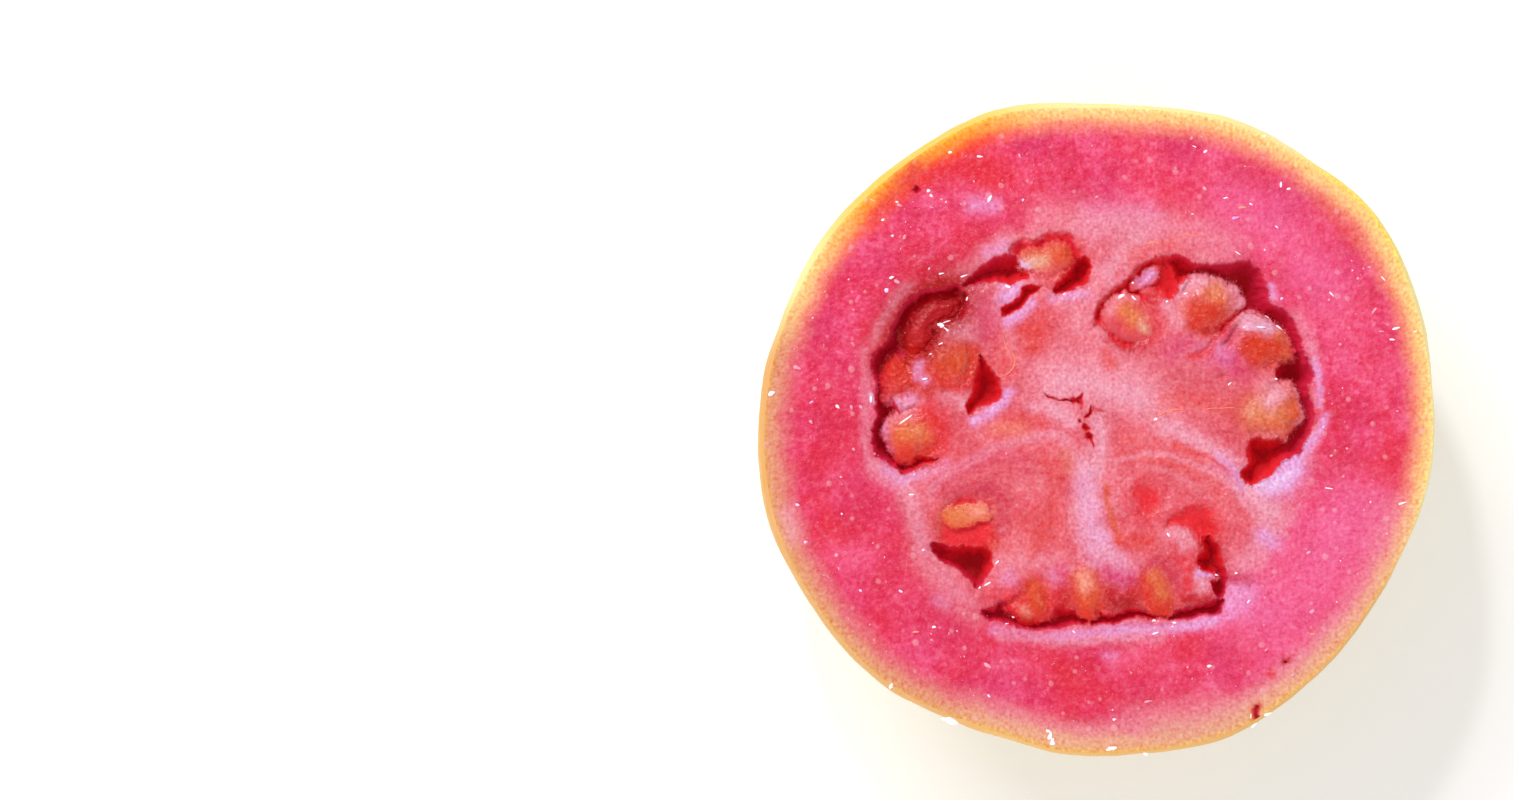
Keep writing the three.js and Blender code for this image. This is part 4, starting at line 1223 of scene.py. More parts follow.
class Finish:
    """A material being made: its node tree and its Principled shader."""

    def __init__(self, name: str) -> None:
        """Starts a material.

        Args:
            name: its name.
        """
        self.material = bpy.data.materials.new(name)
        self.material.use_nodes = True
        self.tree = NodeTree(self.material.node_tree)
        self.shader = self.material.node_tree.nodes["Principled BSDF"]

    def set(self, **values: object) -> None:
        """Sets or links the shader's sockets, named with _ for a space."""
        for name, value in values.items():
            self.tree.feed(self.shader.inputs[name.replace("_", " ")], value)

    def effect(self, group: bpy.types.NodeTree, output: str, **values: float) -> Socket:
        """Places a shared effect.

        Args:
            group: its node group.
            output: the output wanted.
            values: its inputs, by name.

        Returns:
            The output.
        """
        made = self.tree.node("ShaderNodeGroup", node_tree=group)
        for name, value in values.items():
            made.inputs[name].default_value = value
        return made.outputs[output]

    def bump(self, height: object, depth: float, strength: float,
             under: object = None) -> Socket:
        """Places a bump.

        Args:
            height: heights from 0 to 1.
            depth: their depth, in millimetres.
            strength: how strong it is.
            under: a bump to lay it on.

        Returns:
            The normal.
        """
        made = self.tree.node("ShaderNodeBump")
        made.inputs["Strength"].default_value = strength
        made.inputs["Distance"].default_value = depth * MILLIMETRE
        self.tree.feed(made.inputs["Height"], height)
        if under is not None:
            self.tree.feed(made.inputs["Normal"], under)
        return made.outputs[0]


@dataclass(frozen=True)
class FleshFinish:
    """Wet cut flesh and pulp: the painted colours, broken by fine tissue and stone grains, with a painted
    red glow in the hollows.
    """

    grain: Colour = (0.93, 0.46, 0.52)
    glow: Colour = (1.0, 0.01, 0.03)
    glow_strength: float = 0.09
    mottle_size: float = 0.00055
    tissue_size: float = 0.00034
    grain_size: float = 0.0012

    def build(self, effects: Effects) -> bpy.types.Material:
        """Makes the material.

        Args:
            effects: the shared node groups.

        Returns:
            The material.
        """
        finish = Finish("guava_flesh")
        tree = finish.tree
        fine = finish.effect(effects.mottle, "Mask", Size=self.mottle_size, Contrast=3.0)
        pale = tree.times(tree.between(fine, 0.55, 1.0), tree.times(tree.mask("flat"), 0.16))
        dark = tree.times(tree.between(fine, 0.5, 0.0), 0.6)
        colour = tree.blend(pale, tree.painted(), self.grain)
        colour = tree.blend(dark, colour, tree.deepened(colour, 1.5))
        grains = finish.effect(effects.grains, "Mask", Size=self.grain_size, Share=0.24)
        colour = tree.blend(tree.times(grains, tree.times(tree.mask("firm"), 0.34)), colour, self.grain)
        tissue = finish.effect(effects.tissue, "Height", Size=self.tissue_size)
        beads = finish.effect(effects.grains, "Height", Size=self.grain_size, Share=0.3)
        normal = finish.bump(tissue, 0.14, 0.8)
        normal = finish.bump(beads, 0.10, 0.8, normal)
        pit = tree.mask("pit")
        dryness = tree.math("MULTIPLY_ADD", pit, 0.4, tree.between(fine, 0.1, 0.9, 0.22, 0.46))
        coat = tree.math("MULTIPLY_ADD", pit, -0.15, 0.15, clamp=True)
        # Painted glow: the hollows give off a red light of their own, standing in for light scattered
        # through the flesh.
        glow = tree.blend(pit, (0.0, 0.0, 0.0), self.glow)
        finish.set(Base_Color=colour, Roughness=dryness, Normal=normal, IOR=1.36)
        finish.set(Emission_Color=glow, Emission_Strength=self.glow_strength)
        finish.set(Coat_Weight=coat, Coat_Roughness=0.1)
        return finish.material


@dataclass(frozen=True)
class SkinFinish:
    """Thin, slightly waxy yellow skin with pores and a few tan flecks."""

    pale: Colour = (0.88, 0.70, 0.28)
    green: Colour = (0.50, 0.50, 0.10)
    fleck: Colour = (0.36, 0.20, 0.07)
    patch_size: float = 0.009
    mottle_size: float = 0.0016
    fleck_size: float = 0.003
    pore_size: float = 0.0012

    def build(self, effects: Effects) -> bpy.types.Material:
        """Makes the material.

        Args:
            effects: the shared node groups.

        Returns:
            The material.
        """
        finish = Finish("guava_skin")
        tree = finish.tree
        patches = finish.effect(effects.mottle, "Mask", Size=self.patch_size, Contrast=3.0)
        fine = finish.effect(effects.mottle, "Mask", Size=self.mottle_size, Contrast=2.2)
        low = tree.mask("low")
        colour = tree.blend(tree.times(patches, tree.times(low, 0.5)), tree.painted(), self.pale)
        green = tree.times(tree.math("SUBTRACT", 1.0, patches), tree.times(low, 0.55))
        colour = tree.blend(green, colour, self.green)
        flecks = finish.effect(effects.grains, "Mask", Size=self.fleck_size, Share=0.16)
        colour = tree.blend(tree.times(flecks, tree.times(low, 0.55)), colour, self.fleck)
        pores = finish.effect(effects.grains, "Height", Size=self.pore_size, Share=0.75)
        soft = tree.noise(2.4, detail=4.0)
        normal = finish.bump(soft, 0.22, 0.5)
        normal = finish.bump(pores, 0.07, 0.6, normal)
        finish.set(Base_Color=colour, Roughness=tree.between(fine, 0.1, 0.9, 0.38, 0.56), Normal=normal)
        finish.set(Subsurface_Weight=0.1, Subsurface_Radius=(1.0, 0.55, 0.15), Subsurface_Scale=0.001)
        finish.set(Specular_IOR_Level=0.3)
        return finish.material


@dataclass(frozen=True)
class WetFinish:
    """Small wet parts of the cut: their painted colours under a coat of juice.

    The bump is in millimetres, and the shine is a painted glow: a little light of their own, from
    their paint, which keeps them bright.
    """

    name: str
    roughness: float
    coat: float
    bump: float
    scatter: float = 0.2
    shine: float = 0.0
    mottle_size: float = 0.0006
    tissue_size: float = 0.0004

    def build(self, effects: Effects) -> bpy.types.Material:
        """Makes the material.

        Args:
            effects: the shared node groups.

        Returns:
            The material.
        """
        finish = Finish(self.name)
        tree = finish.tree
        paint = tree.painted()
        fine = finish.effect(effects.mottle, "Mask", Size=self.mottle_size, Contrast=2.6)
        colour = tree.blend(tree.times(fine, 0.45), paint, tree.deepened(paint, 1.35))
        tissue = finish.effect(effects.tissue, "Height", Size=self.tissue_size)
        normal = finish.bump(tissue, self.bump, 0.5)
        finish.set(Base_Color=colour, Roughness=self.roughness, Normal=normal, IOR=1.4)
        finish.set(Subsurface_Weight=self.scatter, Subsurface_Radius=(1.0, 0.4, 0.25))
        finish.set(Subsurface_Scale=0.0008, Coat_Weight=self.coat, Coat_Roughness=0.06)
        finish.set(Emission_Color=paint, Emission_Strength=self.shine)
        return finish.material


@dataclass(frozen=True)
class CalyxFinish:
    """Dry, papery brown sepals with darker veins and pale worn edges."""

    brown: Colour = (0.16, 0.09, 0.04)
    tan: Colour = (0.34, 0.22, 0.11)
    dark: Colour = (0.05, 0.03, 0.018)

    def build(self, effects: Effects) -> bpy.types.Material:
        """Makes the material.

        Args:
            effects: the shared node groups.

        Returns:
            The material.
        """
        finish = Finish("guava_calyx")
        tree = finish.tree
        mottle = finish.effect(effects.mottle, "Mask", Size=0.0018, Contrast=3.2)
        colour = tree.blend(mottle, self.brown, self.tan)
        veins = tree.noise(0.5, detail=4.0, stretch=(1, 1, 0.3))
        colour = tree.blend(tree.between(veins, 0.55, 0.7), colour, self.dark)
        normal = finish.bump(veins, 0.15, 0.8)
        finish.set(Base_Color=colour, Roughness=tree.between(mottle, 0.1, 0.9, 0.7, 0.9), Normal=normal)
        return finish.material


# ------------------------------ the cut face


def shift_raggedly(points: Array, parts: tuple[tuple[float, float, int], ...]) -> Array:
    """Moves places about by noise, so that shapes measured from them have torn edges.

    Args:
        points: places, shape (n, 2).
        parts: size of the bumps, how far they move a place, and their seed.

    Returns:
        The moved places, shape (n, 2).
    """
    moved = points.copy()
    for size, distance, seed in parts:
        for axis in (0, 1):
            moved[:, axis] += distance * gradient_noise(points, size, seed + 5 * axis)
    return moved


@dataclass
class Relief:
    """Heights of the cut face: its flesh and pulp, the hollows torn in it, and its soft lumps."""

    pulp_reach: float = 20.6

    def pulp_share(self, flat: Array) -> Array:
        """How far each place is soft pulp instead of firm flesh, from 0 to 1."""
        reach = np.linalg.norm(flat, axis=1) + fractal_noise(flat, 3.2, 83) * 1.4
        return smooth_step(self.pulp_reach + 1.2, self.pulp_reach - 1.2, reach)

    def swirl(self, flat: Array) -> Array:
        """Fine fibres that curve round the two lower lobes and out from the core.

        Args:
            flat: places on the cut face, shape (n, 2).

        Returns:
            Values between about -1 and 1, shape (n,).
        """
        total = np.zeros(len(flat))
        for centre, reach, seed in (((-9.5, -9.5), 9.5, 91), ((7.5, -9.0), 8.5, 97), ((0, 2), 21, 101)):
            radius, turn = radius_and_angle(flat - np.array(centre))
            round_lobe = reach < self.pulp_reach
            along, across = (turn * radius / 2.4, radius / 0.42) if round_lobe else (turn * 9, radius / 2.2)
            lines = gradient_noise(np.column_stack([along, across]), 1.0, seed)
            total += lines * smooth_step(reach, reach * 0.7, radius)
        return total * 0.6

    def ground(self, flat: Array) -> Array:
        """Depth of the unbroken surface, from its soft swells to its finest tissue.

        Args:
            flat: places on the cut face, shape (n, 2).

        Returns:
            Depths, shape (n,).
        """
        pulp = self.pulp_share(flat)
        soft = fractal_noise(flat, 3.4, 11) * 0.22 + gradient_noise(flat, 0.9, 23) * 0.08
        soft += gradient_noise(flat, 0.42, 27) * 0.045 + gradient_noise(flat, 0.22, 29) * 0.02
        soft += self.swirl(flat) * 0.07
        firm = fractal_noise(flat, 6.0, 31) * 0.08 + gradient_noise(flat, 0.8, 37) * 0.03
        firm += gradient_noise(flat, 0.36, 39) * 0.018
        return pulp * soft + (1 - pulp) * firm

    def side_of(self, flat: Array, places: Array, inside: Array) -> Array:
        """How far the nearest edge is the pulp's, not the outer wall's, from 0 to 1.

        Args:
            flat: places on the cut face, shape (n, 2).
            places: the nearest places on the edge, shape (n, 2).
            inside: whether each place is in the hollow.

        Returns:
            Shares, shape (n,).
        """
        away = (flat - places) * np.where(inside, 1, -1)[:, None]
        away /= np.maximum(np.linalg.norm(away, axis=1), 1e-6)[:, None]
        outward = places / np.maximum(np.linalg.norm(places, axis=1), 1e-6)[:, None]
        return smooth_step(-0.3, 0.5, np.sum(away * outward, axis=1))

    def hollows(self, flat: Array) -> tuple[Array, Array, Array]:
        """Measures the hollows.

        Args:
            flat: places on the cut face, shape (n, 2).

        Returns:
            Their depth, the drop of the lips round them and nearness to them from 0 to 1, each of
            shape (n,).
        """
        torn = shift_raggedly(flat, ((1.5, 0.20, 131), (0.5, 0.13, 137), (0.24, 0.05, 139)))
        sunk = np.zeros(len(flat))
        lip = np.zeros(len(flat))
        beside = np.zeros(len(flat))
        for index, hollow in enumerate(HOLLOWS):
            outline = smooth_curve(hollow.outline, OUTLINE_STEP, closed=True)
            near = near_line(torn, outline, 3.0)
            gaps, places = nearest_on_line(torn[near], outline, closed=True)
            inside = lies_inside(torn[near], outline)
            pulp_side = self.side_of(torn[near], places, inside)
            slope = mixed(hollow.wall_slope, hollow.pulp_slope, pulp_side)
            lumps = 1 + 0.15 * fractal_noise(flat[near], 1.8, 41 + index)
            depth = hollow.depth * lumps * np.tanh(gaps / slope) * inside
            sunk[near] = np.maximum(sunk[near], depth)
            rise = 0.3 * min(hollow.depth / 5, 1) * np.exp(-gaps / 0.6) * ~inside
            lip[near] = np.maximum(lip[near], rise)
            share = smooth_step(2.4, 0.5, np.where(inside, 0, gaps)) * min(hollow.depth / 3, 1)
            beside[near] = np.maximum(beside[near], share)
        return sunk, lip, beside

    def lumps(self, flat: Array, beside: Array) -> tuple[Array, Array]:
        """Measures the lumps.

        Args:
            flat: places on the cut face, shape (n, 2).
            beside: nearness to a hollow from 0 to 1.

        Returns:
            Depth of their tops and how far in each place lies on one, each of shape (n,).
        """
        furry = shift_raggedly(flat, ((1.2, 0.22, 151), (0.38, 0.13, 157), (0.2, 0.07, 163)))
        rough = fractal_noise(flat, 1.4, 167) * 0.22 + fractal_noise(flat, 0.4, 173, 2) * 0.10
        depth = np.full(len(flat), NOTHING_THERE)
        within = np.zeros(len(flat))
        steep = 0.2 + 0.8 * beside
        for lump in LUMPS:
            outline = smooth_curve(lump.outline, OUTLINE_STEP, closed=True)
            near = near_line(furry, outline, 0.6)
            gaps, _ = nearest_on_line(furry[near], outline, closed=True)
            inside = lies_inside(furry[near], outline)
            rise = np.clip(gaps / lump.shoulder, 0, 1)
            drop = lump.shoulder * 0.9 * (1 - np.sqrt(1 - (1 - rise) ** 2)) * steep[near]
            top = np.where(inside, lump.sunk + drop - rough[near] * lump.roughness, NOTHING_THERE)
            depth[near] = np.minimum(depth[near], top)
            within[near] = np.maximum(within[near], gaps * inside)
        return depth, within

    def measure(self, flat: Array) -> tuple[Array, Array, Array]:
        """Measures the face.

        Args:
            flat: places on it, shape (n, 2).

        Returns:
            Depth of the surface under the cut; depth of the hollow there, whatever fills it;
            and how far each place lies on a lump.
        """
        sunk, lip, beside = self.hollows(flat)
        radius, angle = radius_and_angle(flat)
        edge = FORM.edge_radius(angle) - radius
        ground = (self.ground(flat) + lip) * smooth_step(0.0, 1.2, edge) + sunk
        top, within = self.lumps(flat, beside)
        risen = smooth_step(0.0, 0.16, within) * (top < ground)
        merged = mixed(ground, top, smooth_step(0.0, 0.7, within))
        surface = np.where(top < ground, top, merged)
        return surface, sunk, np.maximum(risen, smooth_step(0.0, 0.9, within))


@dataclass
class Painter:
    """Colours of the cut face and of everything that stands in it."""

    relief: Relief
    deepening: float = 1.05

    def flesh(self, flat: Array) -> Array:
        """Colours of unbroken flesh and pulp.

        Args:
            flat: places on the cut face, shape (n, 2).

        Returns:
            Linear colours, shape (n, 3).
        """
        broad = fractal_noise(flat, 4.6, 701)[:, None]
        small = (0.6 * gradient_noise(flat, 0.95, 707) + 0.6 * gradient_noise(flat, 0.36, 709))[:, None]
        mood = broad * 1.5 + small * 0.9
        light, dark = np.clip(mood, 0, 1), np.clip(-mood, 0, 1)
        firm = mixed(mixed(P.ROSE.linear(), P.ROSE_LIGHT.linear(), light), P.ROSE_DARK.linear(), dark)
        warmth = fractal_noise(flat, 7.0, 703)[:, None] * 0.9
        firm = mixed(firm, P.SCARLET.linear(), np.clip(warmth, 0, 0.45))
        firm = mixed(firm, P.MAGENTA.linear(), np.clip(-warmth, 0, 0.45))
        soft = mixed(mixed(P.PULP.linear(), P.PULP_LIGHT.linear(), light), P.PULP_DARK.linear(), dark)
        colours = mixed(firm, soft, self.relief.pulp_share(flat)[:, None])
        radius, angle = radius_and_angle(flat)
        edge = FORM.edge_radius(angle) - radius
        wander = 0.5 * fractal_noise(flat, 2.6, 719) * smooth_step(0.3, 1.6, edge)
        rim, cover = rim_colours(angle, edge + FORM.cut_edge_inset + wander)
        return mixed(colours, rim, cover[:, None])

    def paint(self, flat: Array, sunk: Array, on_lump: Array) -> Array:
        """Colours of the finished face.

        Args:
            flat: places on it, shape (n, 2).
            sunk: depth of the hollow at each place.
            on_lump: how far each place lies on a lump.

        Returns:
            Linear colours, shape (n, 3).
        """
        colours = self.flesh(flat)
        lay_strokes(flat, colours, FLESH_STROKES)
        lay_strokes(flat, colours, PULP_STROKES)
        in_hollow = smooth_step(0.1, 0.5, sunk)
        lumps = mixed(colours, P.CORAL.linear(), (0.55 * in_hollow)[:, None])
        # The red darkens with the hollow's depth: partly the chambers' own red, partly painted shade.
        for pigment, low, high in ((P.SCARLET, 0.15, 0.8), (P.EMBER, 0.7, 1.8), (P.GLOW, 2.0, 4.0)):
            colours = mixed(colours, pigment.linear(), smooth_step(low, high, sunk)[:, None])
        lay_strokes(flat, colours, HOLLOW_STROKES)
        lay_strokes(flat, lumps, SEED_STROKES, 0.15)
        colours = mixed(colours, lumps, np.maximum(on_lump, 1 - in_hollow)[:, None])
        streak = 1 + 0.10 * self.relief.swirl(flat)[:, None] * np.array([0.3, 1.0, 0.9])
        grain = 1 + gradient_noise(flat, 0.3, 727)[:, None] * np.array([0.08, 0.36, 0.28])
        return np.clip(colours * streak * grain, 0, 1) ** self.deepening


@dataclass
class CutFace:
    """The whole cut face: two fine sheets for the pulp and one for the firm flesh round it."""

    cells: int = 436
    pulp_radius: float = 23.6
    ring_rows: int = 55
    glow: float = 0.5
    map_reach: float = 34.0

    def pulp_places(self) -> Array:
        """Wraps a square grid onto the pulp's disc.

        Returns:
            Vertex places, shape (n, 2).
        """
        side = np.linspace(-1, 1, self.cells + 1)
        across, up = (values.ravel() for values in np.meshgrid(side, side))
        level = np.maximum(np.abs(across), np.abs(up))
        sideways = np.abs(across) > np.abs(up)
        turn = np.where(sideways, np.arctan2(0, across) + np.pi / 4 * up / np.where(across == 0, 1, across),
                        np.sign(up) * np.pi / 2 - np.pi / 4 * across / np.where(up == 0, 1, up))
        radius = self.pulp_radius * level
        return np.column_stack([radius * np.cos(turn), radius * np.sin(turn)])

    def ring_places(self) -> Array:
        """Lays rings from the pulp's disc out to the edge.

        Returns:
            Vertex places, shape (n, 2).
        """
        angle = 2 * np.pi * np.arange(4 * self.cells) / (4 * self.cells)
        edge = FORM.edge_radius(angle)
        rows = np.linspace(0, 1, self.ring_rows + 1)[:, None]
        radius = mixed(self.pulp_radius, edge, rows)
        return np.column_stack([(radius * np.cos(angle)).ravel(), (radius * np.sin(angle)).ravel()])

    def build(self, relief: Relief, painter: Painter) -> list[bpy.types.Object]:
        """Makes the sheets, which share their normals where they meet.

        Args:
            relief: the face's heights.
            painter: its colours.

        Returns:
            The sheets.
        """
        pulp, ring = self.pulp_places(), self.ring_places()
        flat = np.vstack([pulp, ring])
        depth, sunk, on_lump = relief.measure(flat)
        vertices = np.column_stack([flat, FORM.cut_height - depth])
        paint = painter.paint(flat, sunk, on_lump)
        level = np.clip(1 - sunk / 1.5, 0, 1)
        pit = (1 - level) * (1 - 0.8 * on_lump)
        firm = level * (1 - relief.pulp_share(flat))
        pulp_quads = grid_faces(self.cells + 1, self.cells + 1, wraps=False)[:, ::-1]
        ring_quads = grid_faces(self.ring_rows + 1, 4 * self.cells, wraps=True) + len(pulp)
        normals = self.joined_normals(vertices, pulp_quads, ring_quads, len(pulp))
        # Steep hollow walls are painted scarlet, claret towards the outside and less on the lumps: painted
        # shade, so that the dim walls read red.
        wall = smooth_step(0.8, 0.35, normals[:, 2])[:, None] * smooth_step(0.05, 0.4, sunk)[:, None]
        outer = smooth_step(17.0, 19.5, np.linalg.norm(flat, axis=1))[:, None]
        tint = mixed(P.SCARLET.linear(), P.CLARET.linear(), outer)
        paint += (tint - paint) * wall * (0.75 - 0.6 * on_lump[:, None])
        normals[:, 2] += self.glow
        normals = unit(normals)
        half = (self.cells // 2) * self.cells
        sheets = {"pulp_lower": pulp_quads[:half], "pulp_upper": pulp_quads[half:], "flesh_ring": ring_quads}
        made = []
        for name, quads in sheets.items():
            used, numbers = np.unique(quads, return_inverse=True)
            parts = MeshParts()
            parts.add(vertices[used], numbers.reshape(-1, 4), paint=paint[used], flat=level[used],
                      pit=pit[used], firm=firm[used])
            sheet = parts.build(name, normals[used])
            lay_flat_map(sheet, self.map_reach)
            made.append(sheet)
        return made

    def joined_normals(self, vertices: Array, pulp_quads: Array, ring_quads: Array,
                       first_ring: int) -> Array:
        """Normals over every sheet, the same on both sides of each seam.

        Args:
            vertices: places of every sheet's vertices.
            pulp_quads: faces of the pulp.
            ring_quads: faces of the firm flesh.
            first_ring: number of the first vertex after the pulp's.

        Returns:
            Unit normals, shape (n, 3).
        """
        places = vertices[:first_ring, :2]
        radius, turn = radius_and_angle(places)
        rim = np.flatnonzero(radius > self.pulp_radius - 1e-6)
        steps = turn[rim] % (2 * np.pi) * 4 * self.cells / (2 * np.pi)
        partner = np.rint(steps).astype(int) % (4 * self.cells)
        welded = np.arange(len(vertices))
        welded[rim] = first_ring + partner
        quads = welded[np.vstack([pulp_quads, ring_quads])]
        return vertex_normals(vertices, quads)[welded]


# ------------------------------ the skin


@dataclass
class Skin:
    """The outside of the half, from the cut edge over the girth to the dimple."""

    columns: int = 420
    side_levels: int = 90
    rise_limit: float = 0.12
    deepening: float = 1.2
    low_colour: Colour = (0.80, 0.56, 0.10)
    low_share: float = 0.75

    def profile(self) -> list[tuple[float, float, float]]:
        """Works out the skin's levels, from the cut edge down.

        Returns:
            Share of the girth, height and roundness of each level.
        """
        girth_height = FORM.cut_height - FORM.widest_below_cut
        reach = girth_height + FORM.sag
        edge_share = 1 - FORM.cut_edge_inset / FORM.mean_radius
        levels = [(edge_share, FORM.cut_height, 0.0)]
        for step in range(1, 9):
            drop = step / 8
            bulge = edge_share + (1 - edge_share) * math.sin(drop * math.pi / 2)
            levels.append((bulge, FORM.cut_height - drop * FORM.widest_below_cut, 0.0))
        last = math.asin((girth_height / reach) ** (FORM.fullness / 2))
        for step in range(1, self.side_levels + 1):
            angle = last * step / self.side_levels
            share = math.cos(angle) ** (2 / FORM.fullness)
            height = girth_height - reach * math.sin(angle) ** (2 / FORM.fullness)
            levels.append((share, max(height, 0.0), step / self.side_levels))
        ring = (FORM.rest_ring_inner, 0.0)
        inner = [ring]
        for (radius, height), (next_radius, next_height) in zip((ring, *FORM.dimple), FORM.dimple):
            for part in (0.25, 0.5, 0.75, 1.0):
                inner.append((mixed(radius, next_radius, part), mixed(height, next_height, part)))
        levels += [(radius / FORM.mean_radius, height, 1.0) for radius, height in inner]
        return levels

    def build(self) -> bpy.types.Object:
        """Makes the skin.

        Returns:
            The new object.
        """
        angle = np.linspace(0, 2 * np.pi, self.columns, endpoint=False)
        girth = FORM.girth_radius(angle)
        rings = []
        for share, height, roundness in self.profile():
            radius = mixed(girth, FORM.mean_radius, roundness) * share
            rings.append(np.column_stack([radius * np.cos(angle), radius * np.sin(angle),
                                          np.full(self.columns, height)]))
        vertices = np.vstack(rings)
        under_cut = FORM.cut_height - vertices[:, 2]
        free = smooth_step(0.0, 1.5, under_cut) * smooth_step(0.0, 2.5, vertices[:, 2])
        swell = (fractal_noise(vertices, 11, 301) * 0.28 + fractal_noise(vertices, 2.2, 307) * 0.05) * free
        outward = unit(vertices - np.array([0, 0, FORM.cut_height * 0.75]))
        vertices = vertices + outward * np.minimum(swell, self.rise_limit)[:, None]
        turn = np.tile(angle, len(rings))
        paint = rim_colours(turn, np.zeros(len(vertices)))[0] ** self.deepening
        low = smooth_step(1.0, 11.0, under_cut + 1.5 * fractal_noise(vertices, 7, 311))
        paint = mixed(paint, np.array(self.low_colour), (self.low_share * low)[:, None])
        parts = MeshParts()
        parts.add(vertices, grid_faces(len(rings), self.columns, wraps=True), paint=paint, low=low)
        return parts.build("skin")


# ------------------------------ seeds, fringe, vessels, beads


def oval_shape(half: tuple[float, float, float], rows: int, columns: int,
               taper: float) -> tuple[Array, Array]:
    """An oval body about the origin, long along x.

    Args:
        half: half length, half width and half height.
        rows: rings from pole to pole, which lie along x.
        columns: sides of each ring.
        taper: how much narrower the +x end is.

    Returns:
        Vertices, shape (n, 3), and faces.
    """
    polar = np.linspace(0.0, np.pi, rows)
    turn = np.linspace(0, 2 * np.pi, columns, endpoint=False)
    lengthwise = np.repeat(np.cos(polar), columns)
    ring = np.repeat(np.maximum(np.sin(polar), 1e-3) ** 0.92, columns)
    around = np.tile(turn, rows)
    narrow = 1 - taper * (0.5 + 0.5 * lengthwise)
    vertices = np.column_stack([half[0] * lengthwise, half[1] * ring * np.cos(around) * narrow,
                                half[2] * ring * np.sin(around) * narrow])
    return vertices, grid_faces(rows, columns, wraps=True)[:, ::-1]


def turned(vertices: Array, degrees: float) -> Array:
    """Turns vertices about the upright axis.

    Args:
        vertices: places, shape (n, 3).
        degrees: how far, from +x towards +y.

    Returns:
        The turned places.
    """
    turn = math.radians(degrees)
    spin = np.array([[math.cos(turn), math.sin(turn), 0], [-math.sin(turn), math.cos(turn), 0], [0, 0, 1]])
    return vertices @ spin


@dataclass
class SeedBed:
    """The hard seeds, which stand a little out of their soft lumps."""

    rows: int = 34
    columns: int = 40

    def build(self) -> bpy.types.Object:
        """Makes the seeds.

        Returns:
            The new object.
        """
        parts = MeshParts()
        for index, seed in enumerate(SEEDS):
            shape, faces = oval_shape(seed.half, self.rows, self.columns, 0.2)
            dents = fractal_noise(shape + 9.0 * index, 1.5, 401) * 0.14
            shape = shape * (1 + dents / np.maximum(np.linalg.norm(shape, axis=1), 0.4))[:, None]
            placed = turned(shape, seed.heading) + np.array([*seed.at, FORM.cut_height - seed.sunk])
            paint = np.tile(P.AMBER.linear(), (len(placed), 1))
            # The seeds take the lumps' strokes, with the light and shade painted in them.
            lay_strokes(placed[:, :2], paint, SEED_STROKES)
            parts.add(placed, faces, paint=paint)
        return parts.build("seeds")


